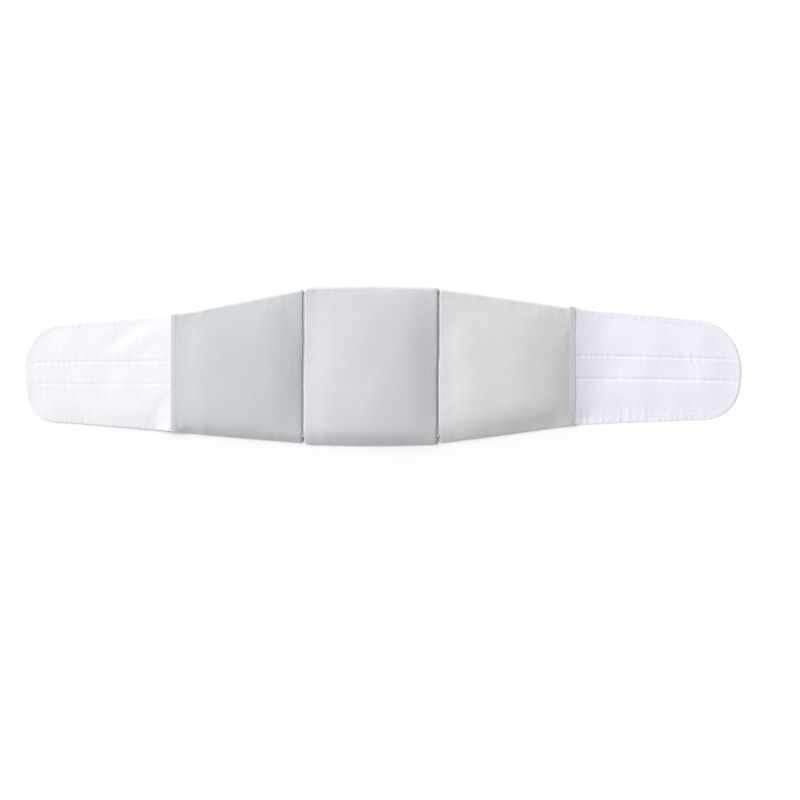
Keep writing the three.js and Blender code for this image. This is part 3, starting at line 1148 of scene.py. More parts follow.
    def lower(self, g: Grid) -> np.ndarray:
        """The height of the lower cover, which lies flat inside its rolled edge.

        Args:
            g: The grid over the panel's plan.

        Returns:
            The height of each point.
        """
        from_end = np.minimum(g["from_left"], g["from_right"])
        from_edge = np.minimum(g["from_low"], g["from_high"])
        inside = quarter_round(from_end / self.under_roll) * quarter_round(from_edge / self.under_roll)
        return self.seam(g) * (1 - inside)

    def relief(self, g: Grid) -> np.ndarray:
        """The small dents, gathers and ripples of the upper cover.

        Args:
            g: The grid over the panel's plan.

        Returns:
            The relief at each point.
        """
        x, y = g["x"], g["y"]
        from_end = np.minimum(g["from_left"], g["from_right"])
        from_edge = np.minimum(g["from_low"], g["from_high"])
        inside = smooth(from_end / self.relief_clear) * smooth(from_edge / self.relief_clear)
        broad = Ripples(self.seed, height=0.1, shortest=50, longest=110).at(x, y)
        crumple = Ripples(self.seed + 1, height=0.018, shortest=10, longest=24).at(x, y)
        gather = Ripples(self.seed + 2, height=0.07, shortest=8, longest=30).at(y)
        gather = gather * bell(from_end - 9, width=4) * smooth(from_edge / self.sewn_clear)
        pucker = Ripples(self.seed + 3, height=0.07, shortest=14, longest=50).at(x)
        pucker = pucker * bell(from_edge - 6, width=9) * smooth(from_end / self.sewn_clear)
        total = (broad + crumple) * inside + gather + pucker
        if isinstance(self.right, Crease):
            ridge = sum(share * bell(g["from_right"] - place, width)
                        for place, width, share in self.ridges)
            stray = 1 + Ripples(self.seed + 4, height=0.5, shortest=30, longest=90).at(y)
            total = total + self.ridge_height * ridge * smooth(from_edge / 12) * stray
        return total

    def sideways(self, g: Grid) -> np.ndarray:
        """How far the ends' points move along the belt to follow the creases.

        Args:
            g: The grid over the panel's plan.

        Returns:
            The move of each point.
        """
        y = g["y"]
        total = np.zeros_like(y)
        for (end, from_end), inward in zip(self.ends(g), (1, -1)):
            if isinstance(end, Crease):
                near = 1 - smooth(from_end / self.crease_reach)
                total += near * (end.offset(y) + inward * end.half_gape(y))
        return total

    def proxy(self) -> bpy.types.Object:
        """A plain, slightly smaller body for the simulation.

        Returns:
            The body, evenly meshed.
        """
        g = self.grid(first=2.0, growth=1.5, widest=7.0)
        top = np.stack([g["x"], g["y"], self.upper(g) - PROXY_INSET], axis=-1)
        bottom = np.stack([g["x"], g["y"], self.lower(g)], axis=-1)
        body = MeshMaker.closed_grid(f"{self.name}_proxy", top, bottom)
        remesh = body.modifiers.new("Remesh", "REMESH")
        remesh.mode = "VOXEL"
        remesh.voxel_size = PROXY_CELL * MM
        graph = bpy.context.evaluated_depsgraph_get()
        mesh = bpy.data.meshes.new_from_object(body.evaluated_get(graph))
        body.modifiers.clear()
        body.data = mesh
        return body

    def simulated(self) -> tuple[np.ndarray, np.ndarray]:
        """Relaxes the padding with a cloth simulation.

        Returns:
            The rest points and how far each one moved, in millimetres.
        """
        body = self.proxy()
        count = len(body.data.vertices)
        rest = np.zeros(count * 3)
        body.data.vertices.foreach_get("co", rest)
        rest = rest.reshape(-1, 3)
        held = body.vertex_groups.new(name="held")
        x = rest[:, 0] / MM
        near_end = np.minimum(x - self.plan.left, self.plan.right - x) < HELD_REACH
        held.add(np.flatnonzero(near_end).tolist(), 1.0, "REPLACE")
        cloth = body.modifiers.new("Cloth", "CLOTH")
        for setting, value in WADDING.items():
            setattr(cloth.settings, setting, value)
        cloth.settings.effector_weights.gravity = 0
        cloth.settings.vertex_group_mass = held.name
        cloth.collision_settings.use_collision = False
        cloth.point_cache.frame_start = 1
        cloth.point_cache.frame_end = SIMULATED_FRAMES
        for step in range(1, SIMULATED_FRAMES + 1):
            bpy.context.scene.frame_set(step)
        graph = bpy.context.evaluated_depsgraph_get()
        shape = body.evaluated_get(graph).data
        moved = np.zeros(count * 3)
        shape.vertices.foreach_get("co", moved)
        move = (moved.reshape(-1, 3) - rest) / MM
        body.modifiers.clear()
        bpy.context.scene.frame_set(1)
        bpy.data.objects.remove(body)
        far = np.linalg.norm(move, axis=1, keepdims=True)
        LOG.info("%s: the simulation moved its points %.1f mm on average, %.1f mm at most",
                 self.name, far.mean(), far.max())
        move *= MOST_MOVE * np.tanh(far / MOST_MOVE) / np.maximum(far, 1e-6)
        return rest / MM, move

    def carried(self, points: np.ndarray, rest: np.ndarray, move: np.ndarray) -> np.ndarray:
        """The simulated movement at other points, from the nearest simulated ones.

        Args:
            points: The points, in millimetres.
            rest: The simulated points before they moved.
            move: How far each of those moved.

        Returns:
            The movement of each point.
        """
        tree = kdtree.KDTree(len(rest))
        for i, point in enumerate(rest):
            tree.insert(point, i)
        tree.balance()
        result = np.zeros_like(points)
        for i, point in enumerate(points):
            found = tree.find_n(point, NEIGHBOURS)
            weights = np.array([1 / (distance + NEAREST_WEIGHT) for _, _, distance in found])
            result[i] = weights @ move[[index for _, index, _ in found]] / weights.sum()
        return result

    def build(self, cloth: bpy.types.Material) -> bpy.types.Object:
        """Makes the panel.

        Args:
            cloth: The cover's material.

        Returns:
            The finished piece.
        """
        g = self.grid(first=0.32, growth=1.32, widest=2.6)
        upper, lower = self.upper(g), self.lower(g)
        top = np.stack([g["x"], g["y"], upper], axis=-1)
        bottom = np.stack([g["x"], g["y"], lower], axis=-1)
        rest, move = self.simulated()
        inside = smooth(np.minimum(g["from_left"], g["from_right"]) / FREE_REACH)
        top += inside[..., None] * self.carried(top.reshape(-1, 3), rest, move).reshape(top.shape)
        top[..., 2] += self.relief(g)
        side = self.sideways(g)
        top[..., 0] += side
        bottom[..., 0] += side
        top[1:-1, 1:-1, 2] = np.maximum(top[1:-1, 1:-1, 2], bottom[1:-1, 1:-1, 2] + LEAST_PAD)
        top[[0, -1], :, 2] = bottom[[0, -1], :, 2]
        top[:, [0, -1], 2] = bottom[:, [0, -1], 2]
        piece = MeshMaker.closed_grid(self.name, top, bottom)
        piece.data.materials.append(cloth)
        finer = piece.modifiers.new("Subdivision", "SUBSURF")
        finer.levels = finer.render_levels = 1
        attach(piece, BODY)
        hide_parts(self.node)
        LOG.info("%s: %d faces", self.name, len(piece.data.polygons))
        return piece


@dataclass
class SeamWeb:
    """The sewn cloth at the bottom of the crease between two panels.

    Attributes:
        name: The piece's name.
        node: The CAD node that it stands for.
        crease: The line of the crease.
        depth: The level of the web's middle.
        points: How many points its line has.
    """

    name: str
    node: str
    crease: Crease
    depth: float = 4.3
    points: int = 90

    def build(self, maker: WebMaker, cloth: bpy.types.Material) -> bpy.types.Object:
        """Makes the web.

        Args:
            maker: What sweeps it.
            cloth: Its material.

        Returns:
            The finished piece.
        """
        low, high = node_box(self.node)
        y = np.linspace(low[1], high[1], self.points)
        x = (low[0] + high[0]) / 2 + self.crease.offset(y)
        line = np.stack([x, y, np.full_like(y, self.depth)], axis=-1)
        piece = maker.sweep(self.name, line, cloth)
        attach(piece, BODY)
        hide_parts(self.node)
        LOG.info("%s: %d faces", self.name, len(piece.data.polygons))
        return piece


@dataclass
class TurnedHem:
    """The narrow strip of cover cloth turned over the joint of wing and flap.

    Attributes:
        name: The piece's name.
        end: The wing's end that it closes.
        seed: The start of its random reliefs.
        grooves: The sewn lines along it, as shares of its width from its outer side.
        proud: How far its upper end stands out past the wing.
        corner: The round of its outer corners.
        edge_round: The round of its folded edges.
        reach_in: How far it reaches in to touch the wing.
        lift: How far it stands above the wing's level.
        groove_depth: How deep the thread pulls it in.
        groove_width: How wide each groove is.
        edge_turn: How far its edges turn down, as a share of the cloth's thickness.
        wave: The height of its small waves.
        thread_depth: How far its stitches are sunk.
        stitch_margin: How far from its tips the stitches end.
    """

    name: str
    end: WingEnd
    seed: int
    grooves: tuple[float, ...]
    proud: float = 0.0
    corner: float = 0.8
    edge_round: float = 0.4
    reach_in: float = 1.2
    lift: float = 0.12
    groove_depth: float = 0.08
    groove_width: float = 0.6
    edge_turn: float = 0.8
    wave: float = 0.02
    thread_depth: float = 0.12
    stitch_margin: float = 3.0

    def level(self, outer: np.ndarray, y: np.ndarray) -> np.ndarray:
        """The level of the wing's end under the strip, at distances from its outer side."""
        return self.end.rise(y) - self.end.fall * (1 - np.clip(outer / self.end.width, 0, 1))

    def surface(self, outer: np.ndarray, y: np.ndarray) -> tuple[np.ndarray, np.ndarray]:
        """The strip's upper face.

        Args:
            outer: Distances from its outer side.
            y: Levels up the belt.

        Returns:
            The points' x and height.
        """
        width = self.end.width + self.reach_in
        from_tip = np.minimum(y - self.end.low, self.end.high + self.proud - y)
        nearest = np.minimum(np.minimum(outer, width - outer), from_tip)
        body = quarter_round(nearest / self.edge_round)
        turned = self.end.hem_thickness * self.edge_turn * (1 - body)
        height = self.level(outer, y) + self.lift - turned
        for groove in self.grooves:
            pulled = bell(outer - groove * width, self.groove_width)
            height = height - self.groove_depth * pulled * body
        height = height + Ripples(self.seed, self.wave, shortest=8, longest=30).at(y) * body
        return self.end.outer - self.end.outward.value * outer, height

    def build(self, cloth: bpy.types.Material, thread: bpy.types.Material,
              stitches: StitchMaker) -> list[bpy.types.Object]:
        """Makes the strip and its stitches.

        Args:
            cloth: The strip's material.
            thread: The thread's material.
            stitches: What lays the stitches.

        Returns:
            The strip and its stitches.
        """
        width = self.end.width + self.reach_in
        across = graded(width, first=0.12, growth=1.3, widest=0.4)
        along = graded(1.0, first=0.0009, growth=1.3, widest=0.007)
        outer, ups = np.meshgrid(across, along, indexing="ij")
        cut = self.corner * (1 - quarter_round(outer / self.corner))
        bottom_y, top_y = self.end.low + cut, self.end.high + self.proud - cut
        levels = bottom_y + (top_y - bottom_y) * ups
        x, height = self.surface(outer, levels)
        top = np.stack([x, levels, height], axis=-1)
        bottom = top.copy()
        bottom[..., 2] = self.level(outer, levels) + self.lift - self.end.hem_thickness
        if self.end.outward is Outward.RIGHT:
            top, bottom = top[::-1], bottom[::-1]
        strip = MeshMaker.closed_grid(self.name, top, bottom)
        strip.data.materials.append(cloth)
        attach(strip, BODY)
        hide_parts(self.end.hem_node)
        run = np.linspace(self.end.low + self.stitch_margin, self.end.high - self.stitch_margin, 220)
        rows = []
        for groove in self.grooves:
            line_x, line_z = self.surface(np.full_like(run, groove * width), run)
            rows.append(np.stack([line_x, run, line_z - self.thread_depth], axis=-1))
        sewn = stitches.rows(f"{self.name}_stitches", rows, thread)
        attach(sewn, BODY)
        LOG.info("%s: %d faces, %d in its stitches", self.name, len(strip.data.polygons),
                 len(sewn.data.polygons))
        return [strip, sewn]


@dataclass(frozen=True)
class Fold:
    """A soft fold or dent of a flap.

    Attributes:
        place: Its distance out from the root.
        level: Its level up the belt.
        reach: How far it runs each way.
        width: How far it spreads to each side.
        turn: Its turn, in degrees.
        height: Its height, which is below 0 for a dent.
    """

    place: float
    level: float
    reach: float
    width: float
    turn: float
    height: float

    def at(self, distance: np.ndarray, y: np.ndarray) -> np.ndarray:
        """The fold's height at points of the flap.

        Args:
            distance: Distances out from the root.
            y: Levels up the belt.

        Returns:
            The height at each point.
        """
        c, s = math.cos(math.radians(self.turn)), math.sin(math.radians(self.turn))
        run = (distance - self.place) * c + (y - self.level) * s
        off = -(distance - self.place) * s + (y - self.level) * c
        return self.height * np.exp(-((run / self.reach) ** 2) - (off / self.width) ** 2)


@dataclass
class FasteningFlap:
    """A soft flap of doubled brushed loop cloth with two sewn channels.

    Attributes:
        name: The piece's name.
        node: The CAD node that it stands for.
        end: The wing's end that its root is sewn to.
        seed: The start of its random reliefs.
        lower_fullness: How square its lower corner is.
        upper_fullness: How square its upper corner is.
        tip_drop: How far its tip hangs below its root's level.
        channel_root_lift: How far the channels stand above its middle, at the root.
        channel_tip_lift: The same at the tip.
        lower_pucker: How strongly its lower edge is gathered.
        upper_pucker: How strongly its upper edge is gathered.
        tucks: Longer tucks of its lower edge, as distances from the root.
        folds: Its soft folds and dents.
        channel_depth: How deep its channels are sewn in.
        lower_droop: How much thinner it gets towards its lower edge.
        lower_sag: How far its lower edge sags to the floor, as a share of its rise.
        slope_ratio: How far out it slopes, as a multiple of its rise at the root.
        slope_power: How soon it slopes down: a higher power is sooner.
        sag_reach: How far up from the lower edge the sag is felt.
        sag_start: How far out from the root it is full.
        tip_height: The flap's height where the tip starts to turn.
        tip_round: How far the tip's round reaches.
        drop_power: How late the tip drops.
        edge_thickness: The cloth's thickness at the border.
        swell: How much thicker the middle is.
        swell_width: How far in from the border it is full.
        edge_round: The round of the border's upper side.
        hem_width: The width of the turned hem along the border.
        hem_raise: How far the hem stands up.
        hem_sewn: How deep the hem's sewn line is.
        channel_spacing: The distance between the channels' middles, at the root.
        channel_tip_spacing: The same at the tip.
        channel_half_width: Half a channel's width.
        least_cloth: The least thickness that the relief leaves.
        length: How far it reaches out from the hem, measured on the node.
        root_level: The level of its root's middle, measured on the node.
        root_half: Half its root's height, measured on the node.
        border: Its free border.
    """

    name: str
    node: str
    end: WingEnd
    seed: int
    lower_fullness: float
    upper_fullness: float
    tip_drop: float
    channel_root_lift: float
    channel_tip_lift: float
    lower_pucker: float
    upper_pucker: float
    tucks: tuple[float, ...] = ()
    folds: tuple[Fold, ...] = ()
    channel_depth: float = 0.5
    lower_droop: float = 0.05
    lower_sag: float = 0.6
    slope_ratio: float = 40.0
    slope_power: float = 1.3
    sag_reach: float = 45.0
    sag_start: float = 25.0
    tip_height: float = 140.0
    tip_round: float = 63.0
    drop_power: float = 1.6
    edge_thickness: float = 0.2
    swell: float = 0.95
    swell_width: float = 42.0
    edge_round: float = 0.3
    hem_width: float = 8.0
    hem_raise: float = 0.12
    hem_sewn: float = 0.1
    channel_spacing: float = 32.0
    channel_tip_spacing: float = 30.0
    channel_half_width: float = 3.0
    least_cloth: float = 0.05
    length: float = field(init=False)
    root_level: float = field(init=False)
    root_half: float = field(init=False)
    border: np.ndarray = field(init=False)

    def __post_init__(self) -> None:
        """Measures the flap on its CAD nodes."""
        low, high = node_box(self.node)
        tip_x = float((high if self.end.outward is Outward.RIGHT else low)[0])
        self.length = abs(tip_x - self.end.outer) + 0.5
        self.root_level = float(low[1] + high[1]) / 2
        self.root_half = float(high[1] - low[1]) / 2
        self.border = self.outline()

    @property
    def straight(self) -> float:
        """How far the flap runs before its tip turns."""
        return self.length - self.tip_round

    def half(self, distance: np.ndarray) -> np.ndarray:
        """Half the flap's height, with its taper but not its round tip."""
        share = np.clip(distance / self.straight, 0, 1)
        return self.root_half + (self.tip_height / 2 - self.root_half) * share

    def level(self, distance: np.ndarray) -> np.ndarray:
        """The level of its middle line."""
        share = np.clip(distance / self.length, 0, 1)
        return self.root_level - self.tip_drop * share**self.drop_power

    def channels(self, distance: np.ndarray) -> tuple[np.ndarray, np.ndarray]:
        """The levels of the two channels.

        Args:
            distance: Distances out from the root.

        Returns:
            The level of the lower channel, and of the upper one.
        """
        share = np.clip(distance / self.length, 0, 1)
        lift = self.channel_root_lift + (self.channel_tip_lift - self.channel_root_lift) * share
        spacing = self.channel_spacing + (self.channel_tip_spacing - self.channel_spacing) * share
        wave = Ripples(self.seed + 9, height=0.08, shortest=30, longest=90).at(distance)
        middle = self.level(distance) + lift
        return middle - spacing / 2 + wave, middle + spacing / 2 - 0.7 * wave

    def reach(self, share: np.ndarray) -> np.ndarray:
        """How far the tip reaches past the straight stretch, at shares of the half height.

        Args:
            share: Shares of the half height, below 0 in the lower half.

        Returns:
            The reach at each share.
        """
        within = np.clip(np.abs(share), 0, 1)
        full = np.where(share < 0, self.lower_fullness, self.upper_fullness)
        return self.tip_round * (1 - within**full) ** (1 / full)

    def outline(self) -> np.ndarray:
        """The free border, from the lower root round the tip to the upper root.

        Returns:
            One row a point: its distance out and its level.
        """
        turn = np.linspace(-math.pi / 2, math.pi / 2, 161)
        power = 2 / np.where(turn < 0, self.lower_fullness, self.upper_fullness)
        share = np.sign(turn) * np.abs(np.sin(turn)) ** power
        distance = self.straight + self.tip_round * np.cos(turn).clip(0) ** power
        round_part = np.stack([distance, self.level(distance) + share * self.tip_height / 2], axis=-1)
        run = np.linspace(-self.end.width - 1, self.straight, 60)[:-1]
        lower = np.stack([run, self.level(run) - self.half(run)], axis=-1)
        upper = np.stack([run, self.level(run) + self.half(run)], axis=-1)[::-1]
        return np.concatenate([lower, round_part, upper])

    def edge_place(self, distance: np.ndarray, y: np.ndarray) -> tuple[np.ndarray, np.ndarray]:
        """The distance of points to the border, and where along it they are nearest.

        Args:
            distance: Distances out from the root.
            y: Levels up the belt.

        Returns:
            Each point's distance to the border, and the nearest place along it.
        """
        start, step = self.border[:-1], np.diff(self.border, axis=0)
        size = np.linalg.norm(step, axis=1)
        begin = np.concatenate([[0.0], np.cumsum(size)])[:-1]
        points = np.stack([distance.ravel(), y.ravel()], axis=-1)
        nearest = np.zeros(len(points))
        along = np.zeros(len(points))
        for part in np.array_split(np.arange(len(points)), max(1, len(points) // 2000)):
            reach = points[part, None, :] - start[None]
            share = np.clip((reach * step).sum(axis=2) / size**2, 0, 1)
            gap = np.linalg.norm(reach - share[..., None] * step[None], axis=2)
            best = gap.argmin(axis=1)
            rows = np.arange(len(part))
            nearest[part] = gap[rows, best]
            along[part] = begin[best] + share[rows, best] * size[best]
        return nearest.reshape(distance.shape), along.reshape(distance.shape)

    def thickness(self, distance: np.ndarray, y: np.ndarray, inset: np.ndarray) -> np.ndarray:
        """The cloth's thickness without its small relief, at distances to the border.

        Args:
            distance: Distances out from the root.
            y: Levels up the belt.
            inset: Distances to the border.

        Returns:
            The thickness at each point.
        """
        swell = self.swell * smooth((inset - 2) / self.swell_width)
        below = smooth((self.level(distance) - y) / 30)
        droop = self.lower_droop * np.clip(1 - inset / self.hem_width, 0, 1) * below
        return self.edge_thickness + swell - droop

    def rise(self, distance: np.ndarray, y: np.ndarray, thickness: np.ndarray) -> np.ndarray:
        """How far the flap is held off the floor by the wing's edge.

        Args:
            distance: Distances out from the root.
            y: Levels up the belt.
            thickness: The cloth's thickness there.

        Returns:
            The height of the lower face at each point.
        """
        root = self.end.rise(y) - self.end.fall - self.end.hem_thickness - thickness
        slope = 1 - np.clip(distance / (self.slope_ratio * root), 0, 1)
        from_low = y - self.level(distance) + self.half(distance)
        sag = (1 - np.clip(from_low / self.sag_reach, 0, 1)) ** 2 * smooth(distance / self.sag_start)
        return root * slope**self.slope_power * (1 - self.lower_sag * sag)

    def relief(self, distance: np.ndarray, y: np.ndarray, inset: np.ndarray,
               along: np.ndarray) -> np.ndarray:
        """The turned hem, puckers, folds and channels of the upper face.

        Args:
            distance: Distances out from the root.
            y: Levels up the belt.
            inset: Distances to the border.
            along: Places along the border.

        Returns:
            The relief in millimetres.
        """
        inside = smooth(inset / 2)
        lower_side = y < self.level(distance)
        strength = np.where(lower_side, self.lower_pucker, self.upper_pucker)
        strength = strength * (1 - 0.55 * smooth((distance - self.straight) / 30))
        past_hem = inset - self.hem_width + 1
        hem = self.hem_raise * (1 - smooth(past_hem / 2.2))
        sewn = self.hem_sewn * bell(past_hem, width=1.0)
        fine = Ripples(self.seed, height=1.0, shortest=4.5, longest=9).at(along)
        coarse = Ripples(self.seed + 1, height=1.0, shortest=9, longest=26).at(along)
        pucker = strength * (0.6 * fine * bell(inset - 3, width=4)
                             + 0.4 * coarse * bell(inset - 5, width=9))
        total = (hem - sewn + pucker) * inside
        for place in self.tucks:
            fade = (1 - smooth((inset - 6) / 20)) * lower_side
            total = total + 0.22 * bell(distance - place, width=1.9) * fade * inside
            total = total - 0.12 * bell(distance - place - 4, width=2.2) * fade * inside
        for fold in self.folds:
            total = total + fold.at(distance, y) * inside
        broad = Ripples(self.seed + 2, height=0.12, shortest=40, longest=110)
        crumple = Ripples(self.seed + 3, height=0.02, shortest=7, longest=18)
        for ripples in (broad, crumple):
            total = total + ripples.at(distance, y) * inside
        for number, line in enumerate(self.channels(distance)):
            off = y - line
            uneven = Ripples(self.seed + 5 + number, height=0.08, shortest=12, longest=40)
            depth = self.channel_depth * (1 + uneven.at(distance))
            groove = np.clip(1 - np.abs(off) / self.channel_half_width, 0, 1) ** 1.3
            total = total - depth * groove * smooth((distance + self.end.width) / 2)
            ripple = Ripples(self.seed + 7 + number, height=0.05, shortest=6, longest=16)
            total = total + ripple.at(distance) * bell(np.abs(off) - 3.5, width=3) * inside
        return total

    def upper(self, distance: np.ndarray, y: np.ndarray) -> np.ndarray:
        """The height of the upper face.

        Args:
            distance: Distances out from the root.
            y: Levels up the belt.

        Returns:
            The height at each point.
        """
        inset, along = self.edge_place(distance, y)
        thickness = self.thickness(distance, y, inset)
        edge = quarter_round(inset / self.edge_round)
        edge = edge * quarter_round((distance + self.end.width) / 1.5)
        relief = self.relief(distance, y, inset, along)
        body = np.maximum((thickness + relief) * edge, self.least_cloth)
        return self.rise(distance, y, thickness) + body

    def lower(self, distance: np.ndarray, y: np.ndarray) -> np.ndarray:
        """The height of the lower face at points of the flap."""
        inset, _ = self.edge_place(distance, y)
        return self.rise(distance, y, self.thickness(distance, y, inset))

    def columns(self) -> np.ndarray:
        """The places of the mesh's columns, closest together at the border.

        Returns:
            The number of each column's band and its share across the band.
        """
        edge, channel, middle = (np.linspace(0, 1, count) for count in (55, 11, 18))
        crowding = 2.1
        bands = [edge**crowding, channel, middle, channel, 1 - (1 - edge) ** crowding]
        places = [np.stack([np.full(len(shares) - 1, float(number)), shares[:-1]], axis=-1)
                  for number, shares in enumerate(bands)]
        places.append(np.array([[len(bands) - 1.0, 1.0]]))
        return np.concatenate(places)

    def levels(self, distance: np.ndarray, places: np.ndarray) -> np.ndarray:
        """The levels of the mesh's columns.

        Args:
            distance: Distances out from the root, of the columns' shape or with one more axis
                before it.
            places: The columns' places.

        Returns:
            The level up the belt of each point.
        """
        low_line, high_line = self.channels(distance)
        middle, half = self.level(distance), self.half(distance)
        lip = self.channel_half_width
        knots = [middle - half, low_line - lip, low_line + lip, high_line - lip, high_line + lip,
                 middle + half]
        knots = np.stack(np.broadcast_arrays(*knots), axis=-1)
        index = np.broadcast_to(places[:, 0].astype(int), distance.shape)[..., None]
        start = np.take_along_axis(knots, index, axis=-1)[..., 0]
        stop = np.take_along_axis(knots, index + 1, axis=-1)[..., 0]
        return start + (stop - start) * places[:, 1]

    def build(self, cloth: bpy.types.Material) -> bpy.types.Object:
        """Makes the flap.

        Args:
            cloth: Its material.

        Returns:
            The finished piece.
        """
        places = self.columns()
        at_turn = self.levels(np.full(len(places), self.straight), places)
        share = (at_turn - self.level(np.array(self.straight))) / (self.tip_height / 2)
        reach = self.straight + self.reach(share)
        start = -self.end.width
        whole = self.length - start
        run = graded(whole, first=0.09, growth=1.3, widest=1.75) / whole
        distance = start + run[:, None] * (reach - start)[None, :]
        y = self.levels(distance, places)
        x = self.end.outer + self.end.outward.value * distance
        top = np.stack([x, y, self.upper(distance, y)], axis=-1)
        bottom = top.copy()
        bottom[..., 2] = self.lower(distance, y)
        if self.end.outward is Outward.LEFT:
            top, bottom = top[::-1], bottom[::-1]
        piece = MeshMaker.closed_grid(self.name, top, bottom)
        piece.data.materials.append(cloth)
        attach(piece, BODY)
        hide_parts(self.node)
        LOG.info("%s: %d faces", self.name, len(piece.data.polygons))
        return piece

    def sew(self, thread: bpy.types.Material, stitches: StitchMaker) -> bpy.types.Object:
        """Sews the channels and the turned hem.

        Args:
            thread: The thread's material.
            stitches: What lays the stitches.

        Returns:
            The stitches, as one piece.
        """
        run = np.linspace(1.5, self.length - 3.5, 260)
        rows = []
        for line in self.channels(run):
            rows.append(np.stack([run, line, self.upper(run, line) + 0.02], axis=-1))
        step = np.gradient(self.border, axis=0)
        normal = np.stack([-step[:, 1], step[:, 0]], axis=-1)
        normal /= np.linalg.norm(normal, axis=1, keepdims=True)
        inner = self.border + normal * (self.hem_width - 1)
        inner = inner[inner[:, 0] > 1.0]
        rows.append(np.stack([inner[:, 0], inner[:, 1],
                              self.upper(inner[:, 0], inner[:, 1]) - 0.14], axis=-1))
        for row in rows:
            row[:, 0] = self.end.outer + self.end.outward.value * row[:, 0]
            row[:, 2] = np.maximum(row[:, 2], stitches.thickness / 2)
        sewn = stitches.rows(f"{self.name}_stitches", rows, thread)
        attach(sewn, BODY)
        return sewn

    def declare(self, piece: bpy.types.Object, sewn: bpy.types.Object) -> None:
        """Does nothing: no cut size is given.

        Args:
            piece: The finished flap. Not used.
            sewn: Its stitches. Not used.
        """


@dataclass
class Studio:
    """The floor, the lights and the camera.

    Attributes:
        frame_px: The photograph's width and height.
        scale: Millimetres a pixel at the belt.
        middle_px: The pixel over the belt's origin.
        lens: The camera's focal length.
        floor_half: Half the floor's width, in metres.
        floor_gap: How far the floor lies under the belt.
        key_strength: The key light's strength.
        key_spread: How broad the key light is, in degrees.
        key_colour: Its colour.
        key_from: The direction that it comes from.
        sky_strength: The strength of the even light.
        sky_colour: Its colour.
    """

    frame_px: float = 800.0
    scale: float = 1.4
    middle_px: tuple[float, float] = (383.0, 366.0)
    lens: float = 100.0
    floor_half: float = 6.0
    floor_gap: float = 0.2
    key_strength: float = 4.9
    key_spread: float = 56.0
    key_colour: tuple[float, float, float] = (1.0, 0.995, 0.985)
    key_from: tuple[float, float, float] = (-0.8, 0.42, 0.42)
    sky_strength: float = 0.42
    sky_colour: tuple[float, float, float] = (0.985, 0.99, 1.0)

    def lay_floor(self, paint: bpy.types.Material) -> None:
        """Makes the floor just under the belt.

        Args:
            paint: Its material.
        """
        mesh = bpy.data.meshes.new("floor")
        half, depth = self.floor_half, -self.floor_gap * MM
        corners = [(x * half, y * half, depth) for x, y in ((-1, -1), (1, -1), (1, 1), (-1, 1))]
        mesh.from_pydata(corners, [], [(0, 1, 2, 3)])
        mesh.materials.append(paint)
        floor = bpy.data.objects.new("floor", mesh)
        bpy.context.scene.collection.objects.link(floor)

    def set_camera(self) -> None:
        """Puts the camera straight above, as the photograph's was."""
        data = bpy.data.cameras.new("camera")
        data.lens = self.lens
        camera = bpy.data.objects.new("camera", data)
        bpy.context.scene.collection.objects.link(camera)
        x = (self.frame_px / 2 - self.middle_px[0]) * self.scale * MM
        y = -(self.frame_px / 2 - self.middle_px[1]) * self.scale * MM
        height = self.frame_px * self.scale * MM * self.lens / data.sensor_width
        camera.location = (x, y, height)
        bpy.context.scene.camera = camera

    def set_lights(self) -> None:
        """A broad key light from the upper left, and even light from all round."""
        sun = bpy.data.lights.new("key", "SUN")
        sun.energy = self.key_strength
        sun.angle = math.radians(self.key_spread)
        sun.color = self.key_colour
        key = bpy.data.objects.new("key", sun)
        key.rotation_mode = "QUATERNION"
        key.rotation_quaternion = Vector(self.key_from).to_track_quat("Z", "Y")
        bpy.context.scene.collection.objects.link(key)
        world = bpy.data.worlds.new("studio")
        world.use_nodes = True
        sky = world.node_tree.nodes["Background"]
        sky.inputs["Color"].default_value = (*self.sky_colour, 1)
        sky.inputs["Strength"].default_value = self.sky_strength
        bpy.context.scene.world = world
        bpy.context.scene.view_settings.view_transform = "Standard"
        bpy.context.scene.view_settings.look = "None"


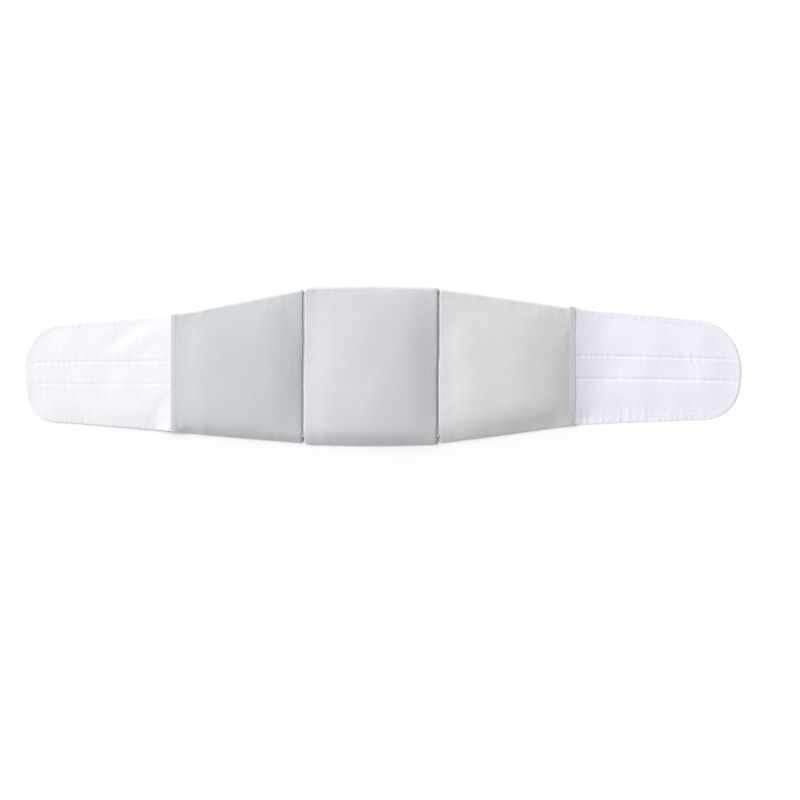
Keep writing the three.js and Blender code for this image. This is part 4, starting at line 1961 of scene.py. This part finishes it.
def main() -> None:
    """Builds the belt piece by piece, then the studio."""
    logging.basicConfig(level=logging.INFO, format="%(name)s: %(message)s")
    cover = CoverCloth().build()
    # The left pad's cover is a darker, bluer copy of the cloth and the right pad's a lighter copy:
    # painted shade and painted light.
    shaded_cover = CoverCloth("light_grey_cover_cloth_painted_shade", (0.566, 0.582, 0.607)).build()
    lit_cover = CoverCloth("light_grey_cover_cloth_painted_light", (0.612, 0.613, 0.627)).build()
    # The left flap's loop cloth is a lighter copy and the right flap's a darker, bluer copy: painted
    # light and painted shade.
    lit_loop = LoopCloth("brushed_loop_cloth_painted_light", (0.833, 0.827, 0.862)).build()
    shaded_loop = LoopCloth("brushed_loop_cloth_painted_shade", (0.778, 0.783, 0.85)).build()
    grey_thread = Thread("grey_thread", (0.56, 0.565, 0.585)).build()
    white_thread = Thread("white_thread", (0.84, 0.84, 0.875)).build()
    stitches = StitchMaker()
    webs = WebMaker()
    left_crease = Crease(
        shift=0.9, step_level=6.0,
        wobble=Ripples(11, height=0.1, shortest=30, longest=80),
        gape=Ripples(12, height=0.12, shortest=18, longest=70),
    )
    right_crease = Crease(
        shift=1.0, step_level=10.0,
        wobble=Ripples(21, height=0.06, shortest=25, longest=70),
        gape=Ripples(22, height=0.07, shortest=16, longest=60),
    )
    left_end = WingEnd("left_hem", Outward.LEFT, edge_rise=6.2, bow=1.8, fall=0.4,
                       corner_fall=1.5, corner_reach=25.0)
    right_end = WingEnd("right_hem", Outward.RIGHT, edge_rise=5.4, bow=1.8, fall=0.8,
                        corner_fall=3.3, corner_reach=42.0)
    panels = [
        PaddedPanel("left_wing_pad", "left_wing_panel", 101, left_end, left_crease,
                    top=11.9, right_power=3.0, lower_roll=15.0, level_crest=0.46),
        PaddedPanel("middle_pad", "middle_panel", 202, left_crease, right_crease,
                    top=15.0, right_lip=7.8, edge_power=3.0),
        PaddedPanel("right_wing_pad", "right_wing_panel", 303, right_crease, right_end,
                    left_lip=7.2, top=13.2, right_power=2.5, lower_roll=42.0, roll_power=3.0,
                    edge_power=3.2, level_crest=0.34),
    ]
    # The left pad is dressed in the copy with painted shade, the right pad in the copy with painted
    # light.
    for panel, cloth in zip(panels, (shaded_cover, cover, lit_cover)):
        panel.build(cloth)
    SeamWeb("left_seam", "left_seam_web", left_crease).build(webs, cover)
    SeamWeb("right_seam", "right_seam_web", right_crease).build(webs, cover)
    hems = [
        TurnedHem("left_turned_hem", left_end, 404, grooves=(0.3, 0.74), corner=3.6),
        TurnedHem("right_turned_hem", right_end, 505, grooves=(0.25, 0.65), proud=1.6),
    ]
    for hem in hems:
        hem.build(cover, grey_thread, stitches)
    flaps = [
        (FasteningFlap(
            "left_loop_flap", "left_flap", left_end, 606,
            lower_fullness=3.1, upper_fullness=2.4, tip_drop=-0.9,
            channel_root_lift=1.3, channel_tip_lift=-0.9, lower_pucker=0.07, upper_pucker=0.05,
            folds=(
                Fold(place=70, level=40, reach=34, width=9, turn=-35, height=-0.5),
                Fold(place=38, level=38, reach=40, width=12, turn=-35, height=0.45),
                Fold(place=12, level=-52, reach=10, width=8, turn=0, height=-0.5),
            ),
            channel_depth=0.3,
        ), lit_loop),
        (FasteningFlap(
            "right_loop_flap", "right_flap", right_end, 707,
            lower_fullness=2.4, upper_fullness=2.05, tip_drop=5.5,
            channel_root_lift=0.2, channel_tip_lift=1.2, lower_pucker=0.16, upper_pucker=0.06,
            tucks=(6, 15, 62, 75, 98), slope_ratio=10.4, slope_power=2.0,
        ), shaded_loop),
    ]
    # The left flap's cloth carries painted light, the right flap's painted shade.
    for flap, loop in flaps:
        piece = flap.build(loop)
        sewn = flap.sew(white_thread, stitches)
        flap.declare(piece, sewn)
        LOG.info("%s: %d faces in its stitches", flap.name, len(sewn.data.polygons))
    studio = Studio()
    studio.lay_floor(FloorPaint().build())
    studio.set_lights()
    studio.set_camera()


if __name__ == "__main__":
    main()
